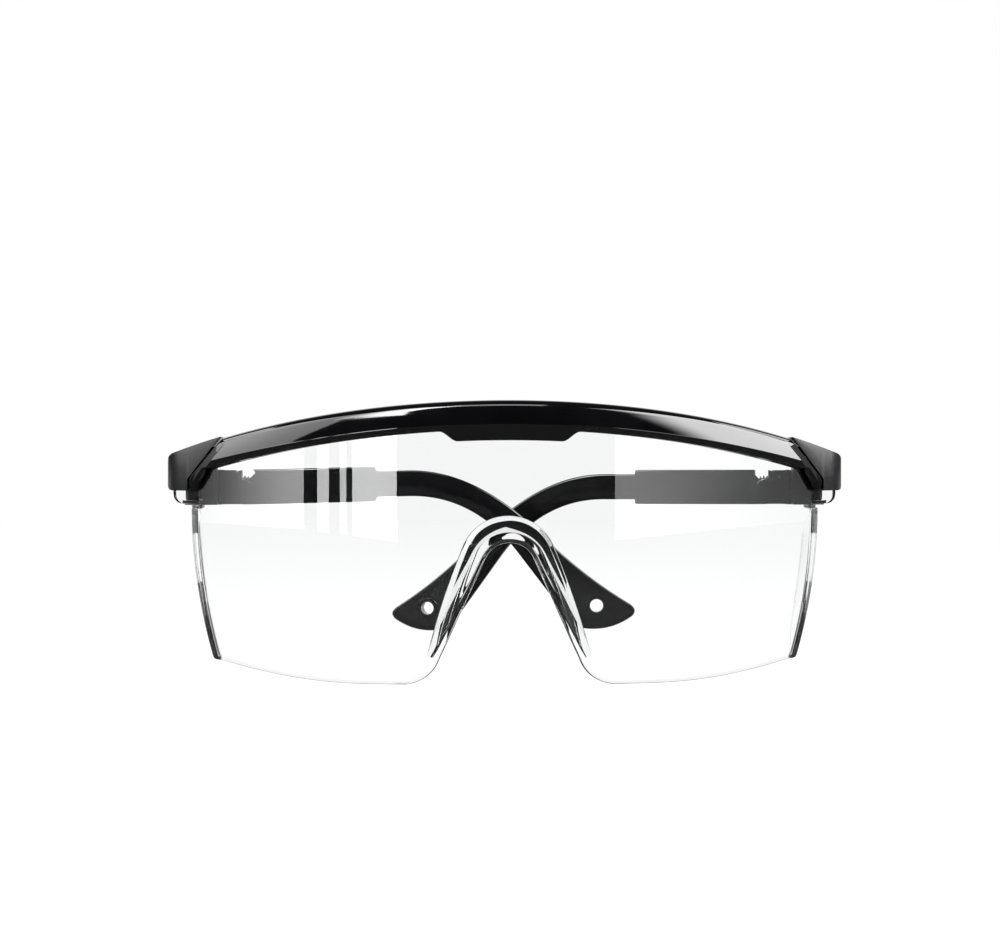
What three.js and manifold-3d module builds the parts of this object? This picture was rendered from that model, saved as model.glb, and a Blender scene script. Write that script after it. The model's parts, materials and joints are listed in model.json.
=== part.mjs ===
// Safety glasses: a one-piece clear wrap lens hung from a black brow bar, with temples that fold,
// tilt and slide.
//
// Millimetres. X points to the wearer's left, Z points up and the lens faces -Y. While the part is
// drawn, Y = 0 is the plane of the two fold axes and Z = 0 is the lowest edge of the lens. The last
// lines move the origin to the middle of the underside. Sides are the wearer's own.

import * as THREE from 'three';
import { mergeVertices } from 'three/addons/utils/BufferGeometryUtils.js';
import Module from 'manifold-3d';

const wasm = await Module();
wasm.setup();

// ---------------------------------------------------------------- driving dimensions

// Front
const FRONT_WIDTH = 153; // over the end caps
const LENS_DROP = 43; // middle of the temples above the lowest edge of the lens
const LENS_INSET = 5.4; // corner of the lens inside the end cap
const LENS_THICKNESS = 2;
const LENS_CORNER = 4; // bend radius between the front and a side shield
const WRAP_DEPTH = 20.2; // how far the corners lie behind the middle of the front
const CORNER_SETBACK = 7.8; // corners of the lens ahead of the fold axes
const SIDE_TAPER = 0.089; // share of its width that the lens loses towards its lowest edge
const BOTTOM_FLAT = 36; // half of the straight part of the lowest edge
const BOTTOM_CURVE = 0.0038; // rise of the lowest edge beyond it, per mm squared
const EAR_ROUND = 2; // radius of the lens ears' lower corners
const EAR_ROOT = 5; // root of a lens ear inside the lens corner
const EAR_INSET = 1.2; // end of a lens ear inside the end cap's outer face

// Side shields
const SHIELD_REACH = 28; // rear edge behind the fold axes
const SHIELD_FLARE = 6.5; // degrees outwards
const SHIELD_FALL = 6.4; // drop of the upper edge towards the rear
const SHIELD_RISE = 9; // rise of the lower edge towards the rear
const SHIELD_ROUND = 9; // radius of the lower rear corner
const SHIELD_FALL_CURVE = 1.4; // power of the upper edge's curve
const SHIELD_RISE_CURVE = 1.6; // power of the lower edge's curve

// Nose bridge
const NOSE_HEIGHT = 31; // top of the opening
const NOSE_ARCH = 5.9; // radius of the opening's arch
const NOSE_LEG_ANGLE = 25; // degrees, between the upper legs of the opening and the vertical
const NOSE_HALF = 16.4; // half of the opening's width at the foot of the legs
const NOSE_FOOT = 5.8; // height of that foot
const NOSE_CORNER = 8.6; // run of the rounded corner below the foot
const FLANGE_FLARE = 6; // how far the flange stands outside the opening at its rear edge, on top
const FLANGE_ARCH = 11; // radius of that edge's arch
const FLANGE_LEG_ANGLE = 22;
const FLANGE_FOOT_FLARE = 1.5;
const FLANGE_DEPTH = 10;
const FLANGE_FOOT_DEPTH = 2.6;
const FLANGE_WALL = 2;

// Brow bar
const BROW_TOP = 19.1; // above the middle of the temples, at the centre
const BROW_BOTTOM = 12.6;
const BROW_TOP_FALL = 10.4; // drop of the upper edge from the centre to the lens corner
const BROW_BOTTOM_FALL = 9.75;
const BROW_FRONT = 3.6; // proud of the lens
const BROW_REAR = 2.2; // behind the rear of the lens
const BROW_CREASE = 2.2; // height of the crease along the front above the lower edge
const NOSE_DROP = 2.3; // extra depth over the nose
const NOSE_DROP_HALF = 11.2;
const NOSE_DROP_RAMP = 4;
const LENS_SEAT = 2.6; // depth of the lens in the brow bar
const BROW_CHAMFER = 1.4; // depth of the bevel under the crease
const BROW_LIP = 0.8; // least height of that bevel
const BROW_EDGE = 1; // softened edges along the top
const BROW_EDGE_DROP = 0.9;
const BROW_TOP_START = 0.6; // flat top, ahead of the lens's front
const BROW_REAR_RISE = 0.3; // rear wall's lower edge above the front's
const TAIL_LENGTH = 4.6; // end of the bar, where the lower edge runs down to the cap
const TAIL_FALL = 1.6; // fall of the lower edge there, per mm
const TAIL_CREASE_FALL = 0.6; // fall of the crease there, per mm
const TAIL_FOOT = 0.1; // lowest end of the bar above the cap's underside
const CHANNEL_WIDTH = 2.1; // recess beside each end cap
const CHANNEL_DEPTH = 0.9;

// End caps and hinges
const CAP_JOINT_TOP = 12.6; // top of the slanting joint, inboard of the cap's outer face
const CAP_JOINT_FOOT = 4.9; // foot of the joint, inboard of the cap's outer face
const CAP_JOINT_RISE = 2.6; // foot of the joint above the cap's underside
const CAP_UNDERSIDE = -0.7; // from the middle of the temples
const CAP_ROUND = 3;
const CAP_CORNER = 1.5; // corners of the cap's outer face
const CAP_REAR = 3.2; // rear of the cap's web ahead of the fold axis
const CHEEK_WALL = 1.7;
const CHEEK_REACH = 1.5; // rear of the cheek behind the fold axis
const HINGE_INSET = 6.5; // fold axis inside the cap's outer face
const LUG_RADIUS = 2.9;
const LOWER_LUG = 1.2; // thickness
const UPPER_LUG = 3.6;
const LUG_ROOT = 0.6; // overlap of a lug with the web
const UPPER_LUG_RISE = 6.5; // top of the upper lug above the middle of the temples
const WEB_THICKNESS = 3.2;
const WEB_INBOARD = 5; // inboard face of the web from the fold axis
const WEB_OUTBOARD = 1.8; // outboard face, also inboard of the axis, clear of the lens corner
const CAP_STEP = 0.4; // the cap stands this much above the bar
const PIN_RADIUS = 1;
const PIN_HEAD_RADIUS = 1.7;
const PIN_HEAD = 0.8;
const PIN_TOP = 0.8; // end of the pin below the top of the upper lug
const BORE_TOP = 0.5; // end of its hole below the top of the upper lug
const PIN_GAP = 0.15; // round the pin in the lugs
const BARREL_GAP = 0.2; // round the pin in the link's barrel
const HEAD_GAP = 0.1; // under the heads of pins and rivets
const BARREL_RADIUS = 2.6;
const TONGUE_LENGTH = 3.4; // in the cap
const TONGUE_ROOT = 1; // in the bar, inboard of the joint's top
const TONGUE_LEAN = 2.9; // run of the joint over the tongue's height
const TONGUE_DROP = 1.5; // below the top of the bar
const TONGUE_HEIGHT = 1.5;
const TONGUE_HALF = 1.1;

// Temples
const TEMPLE_HEIGHT = 8;
const TEMPLE_THICKNESS = 5.2;
const PIVOT_REACH = 10.5; // tilt pivot from the fold axis
const RIVET_RADIUS = 1.1;
const RIVET_HEAD_RADIUS = 1.9;
const RIVET_HEAD = 0.6;
const LINK_NECK = 0.4; // start of the link's body beyond the lugs
const LINK_BODY_GAP = 0.5; // end of the link's body ahead of the sleeve
const LINK_ROOT = 1; // overlap of the link's parts
const SHOULDER_ROOT = 0.5;
const SHOULDER_END = 5; // end of the shoulder ahead of the pivot
const DISC_THICKNESS = 2.3; // the link's disc; the sleeve's cheek has the rest
const DISC_INSET = 0.1; // disc lower than the sleeve
const DISC_ROOT = 5.6; // root of the disc ahead of the pivot
const DISC_GAP = 0.35; // round the disc
const WINDOW_START = 52; // degrees round the disc, from the temple's axis
const WINDOW_END = 118;
const TEETH_START = 58;
const TEETH_END = 112;
const TEETH = 3;
const TOOTH_TIP = 2.7; // from the pivot
const TOOTH_ROOT = 1.9;
const NOTCH_BEFORE = 0.7; // the sleeve's window over the teeth, from the pivot
const NOTCH_AFTER = 2.3;
const NOTCH_DEPTH = 2;
const SLEEVE_LENGTH = 40.5; // mouth of the sleeve from the fold axis
const SLEEVE_CORNER = 0.6;
const SLEEVE_WALL = 0.8; // over and under the cavity
const CAVITY_GAP = 1.7; // start of the cavity beyond the disc
const NIB_SLOT_START = 4.6; // from the start of the cavity
const NIB_SLOT_END = 3.3; // from the mouth of the sleeve
const NIB_SLOT_HALF = 0.9;
const NIB_REACH = 7; // from the disc
const NIB_LENGTH = 1.6;
const NIB_HALF = 0.6;
const NIB_ROOT = 0.5;
const NIB_INSET = 0.2; // top of the nib under the sleeve's outer face
const RIVET_GAP = 0.15; // round the rivet in the link
const RIVET_ROOM = 0.3; // round the rivet in the sleeve
const EAR_THICKNESS = 2.8;
const EAR_SHANK = 31; // straight length of the ear piece
const EAR_INSIDE = 23.5; // length of the shank in the sleeve
const EAR_REACH = 98.8; // tip of the ear piece from the fold axis
const EAR_DROP = 33.9; // lowest point of the hook below the temple's middle
const CORD_HOLE = 3; // diameter
const CORD_RIM = 1; // width of the rim round it
const CORD_RIM_RISE = 0.25;
const CORD_FROM_TIP = 8.8;
const CORD_RISE = 5; // above the lowest point of the hook

// The ear piece behind its straight shank, from the shank's lower edge round the hook and back.
// Each curve is its control point and its end, from the bend of the shank or from the hook's tip
// and lowest point.
const BEND_UNDER = { control: 14.5, end: [24.5, -16.5] };
const HOOK_START = [-14.4, 1.1];
const HOOK_CURVES = [
  [[-13.7, 0], [-12.6, 0]],
  [[-6.1, -1.3], [-0.8, 2.4]],
  [[0.7, 3.8], [-1.2, 5.2]],
];
const HOOK_BACK = [-13, 12.7];
const BEND_OVER = { start: [28, -10.4], control: 14 };

// Clearances
const SEAT_GAP = 0.3; // between pieces that are fixed to each other
const RUNNING_GAP = 0.3; // between pieces that move
const SLIDE_GAP = 0.25;

// Temples as they lie folded: degrees from the X axis, and the tilt that the right one has kept
const RIGHT_FOLD = -3;
const LEFT_FOLD = 12;
const RIGHT_TILT = 1.35;
const LEFT_TILT = 0;

// ---------------------------------------------------------------- derived places

const capOuter = FRONT_WIDTH / 2;
const lensHalf = capOuter - LENS_INSET;
const hingeX = capOuter - HINGE_INSET;
const templeZ = LENS_DROP;
const templeBottom = templeZ - TEMPLE_HEIGHT / 2;
const capBottom = templeZ + CAP_UNDERSIDE;
const shieldTop = templeBottom - 2 * RUNNING_GAP;
const lowerLugTop = templeBottom + LOWER_LUG;
const upperLugTop = templeZ + UPPER_LUG_RISE;
const upperLugBottom = upperLugTop - UPPER_LUG;
const jointTop = capOuter - CAP_JOINT_TOP;
const jointFoot = capOuter - CAP_JOINT_FOOT;
const jointFootZ = capBottom + CAP_JOINT_RISE;
const tailStart = jointFoot - TAIL_LENGTH;
const browRear = LENS_THICKNESS + BROW_REAR;
const templeHalf = TEMPLE_HEIGHT / 2;
const discRadius = templeHalf - DISC_INSET;
const cavityStart = PIVOT_REACH + templeHalf + CAVITY_GAP;
const cavityTop = templeHalf - SLEEVE_WALL;
const earNear = (TEMPLE_THICKNESS - EAR_THICKNESS) / 2;
const earFar = earNear + EAR_THICKNESS;
const cutBeyond = 2; // how far a cutting shape runs past what it cuts

// ---------------------------------------------------------------- helpers

const radians = THREE.MathUtils.degToRad;
const lerp = THREE.MathUtils.lerp;

// A closed three.js geometry as a solid that can be joined and cut.
function solid(geometry) {
  const bare = geometry.index ? geometry.clone() : geometry;
  bare.deleteAttribute('normal');
  bare.deleteAttribute('uv');
  const merged = mergeVertices(bare, 1e-5);
  return new wasm.Manifold(new wasm.Mesh({
    numProp: 3,
    vertProperties: new Float32Array(merged.attributes.position.array),
    triVerts: new Uint32Array(merged.index.array),
  }));
}

function geometryOf(body) {
  const mesh = body.getMesh();
  const geometry = new THREE.BufferGeometry();
  geometry.setAttribute('position', new THREE.BufferAttribute(mesh.vertProperties, 3));
  geometry.setIndex(new THREE.BufferAttribute(mesh.triVerts, 1));
  geometry.computeVertexNormals();
  return geometry;
}

// Sweeps a closed ring of [a, b] points through the stations. (station, a, b) is right-handed under
// place(), and the ring runs anticlockwise in (a, b).
function loft(stations, ring, place) {
  const positions = [];
  const faces = [];
  const rings = stations.map(ring);
  const count = rings[0].length;
  stations.forEach((station, i) => {
    rings[i].forEach(([a, b]) => positions.push(...place(station, a, b)));
  });
  for (let i = 0; i + 1 < stations.length; i++) {
    for (let j = 0; j < count; j++) {
      const k = (j + 1) % count;
      const here = i * count;
      const next = here + count;
      faces.push(here + j, here + k, next + k, here + j, next + k, next + j);
    }
  }
  const last = stations.length - 1;
  for (const end of [0, last]) {
    const outline = rings[end].map(([a, b]) => new THREE.Vector2(a, b));
    for (const face of THREE.ShapeUtils.triangulateShape(outline, [])) {
      const turned = end === 0 ? [...face].reverse() : face;
      faces.push(...turned.map(vertex => end * count + vertex));
    }
  }
  const geometry = new THREE.BufferGeometry();
  geometry.setAttribute('position', new THREE.Float32BufferAttribute(positions, 3));
  geometry.setIndex(faces);
  return solid(geometry);
}

function spread(from, to, steps) {
  return Array.from({ length: steps + 1 }, (_, i) => lerp(from, to, i / steps));
}

// A front-view outline (x, z) given a depth from y = near to y = far.
function frontPlate(outline, near, far, curveSegments = 8) {
  const geometry = new THREE.ExtrudeGeometry(outline, {
    depth: far - near, bevelEnabled: false, curveSegments,
  });
  geometry.rotateX(Math.PI / 2);
  geometry.translate(0, far, 0);
  return solid(geometry);
}

// A plan outline (x, y) given a height from z = low to z = high.
function planPlate(outline, low, high, curveSegments = 8) {
  const geometry = new THREE.ExtrudeGeometry(outline, {
    depth: high - low, bevelEnabled: false, curveSegments,
  });
  geometry.translate(0, 0, low);
  return solid(geometry);
}

function polygon(points) {
  return new THREE.Shape(points.map(([x, y]) => new THREE.Vector2(x, y)));
}

function block(x0, x1, y0, y1, z0, z1) {
  const geometry = new THREE.BoxGeometry(x1 - x0, y1 - y0, z1 - z0);
  geometry.translate((x0 + x1) / 2, (y0 + y1) / 2, (z0 + z1) / 2);
  return solid(geometry);
}

function upright(radius, x, y, z0, z1, sides = 24) {
  const geometry = new THREE.CylinderGeometry(radius, radius, z1 - z0, sides);
  geometry.rotateX(Math.PI / 2);
  geometry.translate(x, y, (z0 + z1) / 2);
  return solid(geometry);
}

// A round bar along Y, from y0 to y1.
function crossBar(radius, x, z, y0, y1, sides = 28) {
  const geometry = new THREE.CylinderGeometry(radius, radius, y1 - y0, sides);
  geometry.translate(x, (y0 + y1) / 2, z);
  return solid(geometry);
}

function joinAll(first, ...others) {
  return others.reduce((whole, piece) => whole.add(piece), first);
}

function mirrored(body) {
  const geometry = geometryOf(body);
  geometry.scale(-1, 1, 1);
  const index = geometry.index.array;
  for (let i = 0; i < index.length; i += 3) {
    [index[i + 1], index[i + 2]] = [index[i + 2], index[i + 1]];
  }
  return solid(geometry);
}

// ---------------------------------------------------------------- curves of the front

const wrapSlope = x => 2 * WRAP_DEPTH * x / lensHalf ** 2;
const wrapY = x => -CORNER_SETBACK - WRAP_DEPTH * (1 - (x / lensHalf) ** 2);

// A point of the front: x along the wrap curve, a distance behind it, and a height.
function onWrap(x, behind, z) {
  const slope = wrapSlope(x);
  const run = Math.hypot(1, slope);
  return [x - behind * slope / run, wrapY(x) + behind / run, z];
}

function browTop(x) {
  const t = Math.abs(x) / lensHalf;
  return templeZ + BROW_TOP - BROW_TOP_FALL * (0.875 * t ** 2 + 0.125 * t ** 4);
}

function browBottom(x) {
  return templeZ + BROW_BOTTOM - BROW_BOTTOM_FALL * (x / lensHalf) ** 2;
}

function lensBottom(x) {
  return BOTTOM_CURVE * Math.max(0, Math.abs(x) - BOTTOM_FLAT) ** 2;
}

// The lens narrows towards its lowest edge.
function tapered(x, z) {
  const depth = Math.max(0, 1 - z / shieldTop);
  return x * (1 - SIDE_TAPER * depth ** 2);
}

// ---------------------------------------------------------------- lens

// Half of the lens in plan: the wrap curve, the bend and the side shield. Each station has its outer
// surface point, the direction to its rear surface, and its lower and upper edge.
function lensStations() {
  const shieldAngle = Math.PI / 2 - radians(SHIELD_FLARE);
  const endAngle = Math.atan(wrapSlope(lensHalf));
  const bendX = lensHalf - LENS_CORNER * (Math.sin(shieldAngle) - Math.sin(endAngle));
  const bendAngle = Math.atan(wrapSlope(bendX));
  const centreX = bendX - LENS_CORNER * Math.sin(bendAngle);
  const centreY = wrapY(bendX) + LENS_CORNER * Math.cos(bendAngle);
  const stations = [];
  for (const x of spread(0, bendX, 18)) {
    const angle = Math.atan(wrapSlope(x));
    stations.push({ x, y: wrapY(x), angle, low: lensBottom(x), high: browBottom(x) + LENS_SEAT });
  }
  const cornerLow = lensBottom(bendX);
  for (const angle of spread(bendAngle, shieldAngle, 5).slice(1)) {
    stations.push({
      x: centreX + LENS_CORNER * Math.sin(angle),
      y: centreY - LENS_CORNER * Math.cos(angle),
      angle,
      low: cornerLow,
      high: shieldTop,
    });
  }
  const foot = stations[stations.length - 1];
  const length = (SHIELD_REACH - foot.y) / Math.sin(shieldAngle);
  const roundStart = 1 - SHIELD_ROUND / length;
  for (const part of [...spread(0.1, roundStart, 4), ...spread(roundStart, 1, 5).slice(1)]) {
    const into = Math.max(0, (part - roundStart) / (1 - roundStart));
    stations.push({
      x: foot.x + part * length * Math.cos(shieldAngle),
      y: foot.y + part * length * Math.sin(shieldAngle),
      angle: shieldAngle,
      low: cornerLow + SHIELD_RISE * part ** SHIELD_RISE_CURVE
        + SHIELD_ROUND * (1 - Math.sqrt(1 - into ** 2)),
      high: shieldTop - SHIELD_FALL * part ** SHIELD_FALL_CURVE,
    });
  }
  return stations;
}

function lensShell() {
  const leftHalf = lensStations();
  const rightHalf = leftHalf.slice(1).map(({ x, y, angle, low, high }) => (
    { x: -x, y, angle: -angle, low, high }));
  const stations = [...rightHalf.reverse(), ...leftHalf];
  const ring = ({ low, high }) => {
    const taperTop = high > shieldTop ? shieldTop : lerp(low, high, 0.9);
    const lower = spread(low, Math.min(high, shieldTop), 4).slice(0, -1);
    const heights = [...lower, taperTop, high];
    const rear = heights.map(z => [LENS_THICKNESS, z]);
    const front = [...heights].reverse().map(z => [0, z]);
    return [...rear, ...front];
  };
  const place = ({ x, y, angle }, behind, z) => [
    tapered(x - behind * Math.sin(angle), z),
    y + behind * Math.cos(angle),
    z,
  ];
  return loft(stations, ring, place);
}

// The ear is the corner tab of the lens that the end cap holds, with a rounded lower corner.
function lensEar(clearance) {
  const from = lensHalf - EAR_ROOT;
  const to = capOuter - EAR_INSET + clearance;
  const low = templeBottom + RUNNING_GAP - clearance;
  const ring = x => {
    const into = Math.max(0, (x - to + EAR_ROUND) / EAR_ROUND);
    const bottom = low + EAR_ROUND * (1 - Math.sqrt(1 - into ** 2));
    const top = browBottom(x) + LENS_SEAT + clearance;
    return [
      [-clearance, bottom],
      [LENS_THICKNESS + clearance, bottom],
      [LENS_THICKNESS + clearance, top],
      [-clearance, top],
    ];
  };
  const bend = to - EAR_ROUND;
  const stations = [...spread(from, bend, 5), ...spread(bend, to, 4).slice(1)];
  return loft(stations, ring, onWrap);
}

// One side of a nose outline, from the top of its arch down to the foot of its leg.
function noseSide({ top, radius, legAngle, legControl, foot }) {
  const turn = Math.PI / 2 - radians(legAngle);
  const arch = spread(0, turn, 7).map(angle => new THREE.Vector2(
    radius * Math.sin(angle), top - radius * (1 - Math.cos(angle))));
  const start = arch[arch.length - 1];
  const down = new THREE.Vector2(Math.cos(turn), -Math.sin(turn));
  const control = start.clone().addScaledVector(down, legControl);
  const leg = new THREE.QuadraticBezierCurve(start, control, foot);
  return [...arch, ...spread(0, 1, 8).slice(1).map(part => leg.getPoint(part))];
}

// The opening at the front of the lens and the outer edge of the flange behind it, point by point
// from the right foot over the arch to the left foot.
function nosePath() {
  const inner = noseSide({
    top: NOSE_HEIGHT,
    radius: NOSE_ARCH,
    legAngle: NOSE_LEG_ANGLE,
    legControl: 0.65 * (NOSE_HEIGHT - NOSE_FOOT),
    foot: new THREE.Vector2(NOSE_HALF, NOSE_FOOT),
  });
  const outer = noseSide({
    top: NOSE_HEIGHT + FLANGE_FLARE,
    radius: FLANGE_ARCH,
    legAngle: FLANGE_LEG_ANGLE,
    legControl: 0.55 * (NOSE_HEIGHT - NOSE_FOOT),
    foot: new THREE.Vector2(NOSE_HALF + FLANGE_FOOT_FLARE, NOSE_FOOT + 0.4),
  });
  const places = inner.map((point, i) => ({ inner: point, outer: outer[i] }));
  const flip = point => new THREE.Vector2(-point.x, point.y);
  const otherSide = places.slice(1).map(place => (
    { inner: flip(place.inner), outer: flip(place.outer) }));
  return [...otherSide.reverse(), ...places];
}

function noseCut() {
  const foot = NOSE_HALF;
  const outline = new THREE.Shape(nosePath().map(({ inner }) => inner.clone()));
  const end = foot + NOSE_CORNER;
  outline.quadraticCurveTo(foot + NOSE_CORNER / 4, 0.9, end, -0.05);
  outline.lineTo(end, -2);
  outline.lineTo(-end, -2);
  outline.lineTo(-end, -0.05);
  outline.quadraticCurveTo(-foot - NOSE_CORNER / 4, 0.9, -foot, NOSE_FOOT);
  const front = wrapY(0);
  return frontPlate(outline, front - 2, wrapY(end) + 2 * LENS_THICKNESS, 7);
}

function noseFlange() {
  const path = nosePath();
  const middle = (path.length - 1) / 2;
  const stations = path.map(({ inner, outer }, i) => {
    const part = Math.abs(i - middle) / middle;
    return { inner, outer, depth: lerp(FLANGE_DEPTH, FLANGE_FOOT_DEPTH, part ** 2.2) };
  });
  const front = LENS_THICKNESS / 4;
  const ring = ({ inner, outer, depth }) => {
    const flare = inner.distanceTo(outer);
    const wall = Math.min(FLANGE_WALL, 0.8 * flare);
    const under = part => (flare - wall) * part ** 1.5;
    const steps = [0, 0.35, 0.7, 1];
    const noseSide = steps.map(part => [lerp(front, depth, part), under(part)]);
    const lensSide = [...noseSide].reverse().map(([behind, out]) => [behind, out + wall]);
    return [...noseSide, ...lensSide];
  };
  const place = ({ inner, outer }, behind, out) => {
    const reach = out / inner.distanceTo(outer);
    const at = inner.clone().lerp(outer, reach);
    return [at.x, wrapY(inner.x) + behind, at.y];
  };
  return loft(stations, ring, place);
}

function lens() {
  const ears = lensEar(0);
  return joinAll(lensShell().subtract(noseCut()), noseFlange(), ears, mirrored(ears));
}

// ---------------------------------------------------------------- brow bar

function browSection(x) {
  const away = Math.abs(x);
  const over = THREE.MathUtils.smoothstep(away, NOSE_DROP_HALF, NOSE_DROP_HALF + NOSE_DROP_RAMP);
  const tail = Math.max(0, away - tailStart);
  const lower = browBottom(x) - NOSE_DROP * (1 - over) - TAIL_FALL * tail;
  const bottom = Math.max(capBottom + TAIL_FOOT, lower);
  const crease = browBottom(x) + BROW_CREASE - TAIL_CREASE_FALL * tail;
  return { top: browTop(x), bottom, crease: Math.max(crease, bottom + BROW_LIP) };
}

function browStations() {
  const rampEnd = NOSE_DROP_HALF + NOSE_DROP_RAMP;
  const leftHalf = [
    0, NOSE_DROP_HALF / 2, NOSE_DROP_HALF, NOSE_DROP_HALF + NOSE_DROP_RAMP / 2, rampEnd,
    ...spread(rampEnd, tailStart, 10).slice(1),
    ...spread(tailStart, jointFoot + 1, 4).slice(1),
  ];
  return [...leftHalf.slice(1).map(x => -x).reverse(), ...leftHalf];
}

function browBody() {
  const ring = x => {
    const { top, bottom, crease } = browSection(x);
    return [
      [BROW_CHAMFER - BROW_FRONT, bottom],
      [browRear, bottom + BROW_REAR_RISE],
      [browRear, top - BROW_EDGE],
      [browRear - BROW_EDGE, top],
      [-BROW_TOP_START, top],
      [BROW_EDGE - BROW_FRONT, top - BROW_EDGE_DROP],
      [-BROW_FRONT, crease],
    ];
  };
  return loft(browStations(), ring, onWrap);
}

// What the lens, its thickness and a gap take out of a neighbour, from below.
function lensSlot(clearance) {
  const reach = lensHalf + 1;
  const ring = x => [
    [-clearance, capBottom - 6],
    [LENS_THICKNESS + clearance, capBottom - 6],
    [LENS_THICKNESS + clearance, browBottom(x) + LENS_SEAT + clearance],
    [-clearance, browBottom(x) + LENS_SEAT + clearance],
  ];
  return loft(spread(-reach, reach, 48), ring, onWrap);
}

// Everything outboard of the slanting joint, moved inboard by a distance.
function beyondJoint(inboard) {
  const run = jointFoot - jointTop;
  const rise = jointFootZ - browTop(jointTop);
  const along = new THREE.Vector2(run, rise).normalize();
  const shift = new THREE.Vector2(along.y, -along.x).multiplyScalar(inboard);
  const top = new THREE.Vector2(jointTop, browTop(jointTop)).add(shift);
  const foot = new THREE.Vector2(jointFoot, jointFootZ).add(shift);
  const far = capOuter + 10;
  const above = top.clone().sub(along.clone().multiplyScalar(6));
  const outline = polygon([
    [above.x, above.y],
    [foot.x, foot.y],
    [foot.x, capBottom - 8],
    [far, capBottom - 8],
    [far, above.y],
  ]);
  return frontPlate(outline, wrapY(0), CHEEK_REACH + 2);
}

// The channel beside the joint is cut into the front of the bar.
function browChannel() {
  const strip = beyondJoint(CHANNEL_WIDTH);
  const ring = x => [
    [-BROW_FRONT - 2, capBottom - 4],
    [-BROW_FRONT + CHANNEL_DEPTH, capBottom - 4],
    [-BROW_FRONT + CHANNEL_DEPTH, browTop(x) + 3],
    [-BROW_FRONT - 2, browTop(x) + 3],
  ];
  return loft(spread(jointTop - 6, capOuter, 6), ring, onWrap).intersect(strip);
}

// The tongue joins the bar to the end cap, which has a pocket for it.
function tongue(clearance) {
  const start = jointTop - TONGUE_ROOT;
  const end = jointTop + TONGUE_LEAN + TONGUE_LENGTH + clearance;
  const top = x => browTop(x) - TONGUE_DROP + clearance;
  const ring = x => [
    [-TONGUE_HALF - clearance, top(x) - TONGUE_HEIGHT - 2 * clearance],
    [TONGUE_HALF + clearance, top(x) - TONGUE_HEIGHT - 2 * clearance],
    [TONGUE_HALF + clearance, top(x)],
    [-TONGUE_HALF - clearance, top(x)],
  ];
  return loft(spread(start, end, 4), ring, onWrap);
}

// The web of the end cap, which carries the hinge lugs. The bar leaves room for it.
function capWeb(clearance, outboard) {
  return block(
    hingeX - WEB_INBOARD - clearance, outboard,
    -CAP_REAR - WEB_THICKNESS - clearance, -CAP_REAR + clearance,
    templeBottom, upperLugTop + clearance);
}

function browBar() {
  const ends = beyondJoint(SEAT_GAP);
  const webs = capWeb(SEAT_GAP, capOuter);
  const channel = browChannel();
  const tongues = tongue(0);
  const bar = browBody()
    .subtract(ends).subtract(mirrored(ends))
    .subtract(webs).subtract(mirrored(webs))
    .subtract(lensSlot(SEAT_GAP))
    .subtract(channel).subtract(mirrored(channel));
  return joinAll(bar, tongues, mirrored(tongues));
}

// ---------------------------------------------------------------- end caps and pins

function capPlan() {
  const inner = jointTop - 2;
  const frontY = x => wrapY(x) - BROW_FRONT;
  const bend = capOuter - CAP_ROUND;
  const outline = new THREE.Shape();
  outline.moveTo(inner, frontY(inner));
  for (const x of spread(inner, bend, 5).slice(1)) outline.lineTo(x, frontY(x));
  outline.quadraticCurveTo(
    capOuter, frontY(capOuter), capOuter, frontY(bend) + CAP_ROUND + CAP_CORNER);
  outline.lineTo(capOuter, CHEEK_REACH);
  outline.lineTo(capOuter - CHEEK_WALL, CHEEK_REACH);
  outline.lineTo(capOuter - CHEEK_WALL, -CAP_REAR);
  outline.lineTo(inner, -CAP_REAR);
  return outline;
}

function capFace() {
  const outline = new THREE.Shape();
  const last = capOuter - CAP_CORNER;
  const top = x => browTop(x) + CAP_STEP;
  outline.moveTo(jointTop, top(jointTop));
  outline.lineTo(jointFoot, jointFootZ);
  outline.lineTo(jointFoot, capBottom);
  outline.lineTo(last, capBottom);
  outline.quadraticCurveTo(capOuter, capBottom, capOuter, capBottom + CAP_CORNER);
  outline.lineTo(capOuter, top(capOuter) - CAP_CORNER);
  outline.quadraticCurveTo(capOuter, top(capOuter), last, top(last));
  for (const x of spread(last, jointTop, 5).slice(1, -1)) outline.lineTo(x, top(x));
  return outline;
}

// A hinge lug: a round end on the fold axis with straight sides running forward to the web.
function lug(low, high) {
  const rear = block(
    hingeX - LUG_RADIUS, hingeX + LUG_RADIUS, -CAP_REAR - LUG_ROOT, 0, low, high);
  return rear.add(upright(LUG_RADIUS, hingeX, 0, low, high));
}

function endCap() {
  const shell = planPlate(capPlan(), capBottom, browTop(0)).intersect(
    frontPlate(capFace(), wrapY(0), CHEEK_REACH + 1));
  const hole = upright(
    PIN_RADIUS + PIN_GAP, hingeX, 0, templeBottom - cutBeyond, upperLugTop - BORE_TOP);
  const web = capWeb(0, hingeX - WEB_OUTBOARD);
  const lugs = lug(templeBottom, lowerLugTop).add(lug(upperLugBottom, upperLugTop));
  return joinAll(shell, web, lugs)
    .subtract(lensSlot(SEAT_GAP)).subtract(lensEar(SEAT_GAP))
    .subtract(tongue(SEAT_GAP)).subtract(hole);
}

function hingePin() {
  const headTop = templeBottom - HEAD_GAP;
  const headBottom = headTop - PIN_HEAD;
  const head = upright(PIN_HEAD_RADIUS, hingeX, 0, headBottom, headTop);
  const shaft = upright(PIN_RADIUS, hingeX, 0, headBottom + PIN_HEAD / 4, upperLugTop - PIN_TOP);
  return head.add(shaft);
}

// ---------------------------------------------------------------- temples

// A temple is drawn along its own u axis (X) from the fold axis, with its inner face at Y = 0, its
// outer face at Y = TEMPLE_THICKNESS and its middle at Z = 0.

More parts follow.
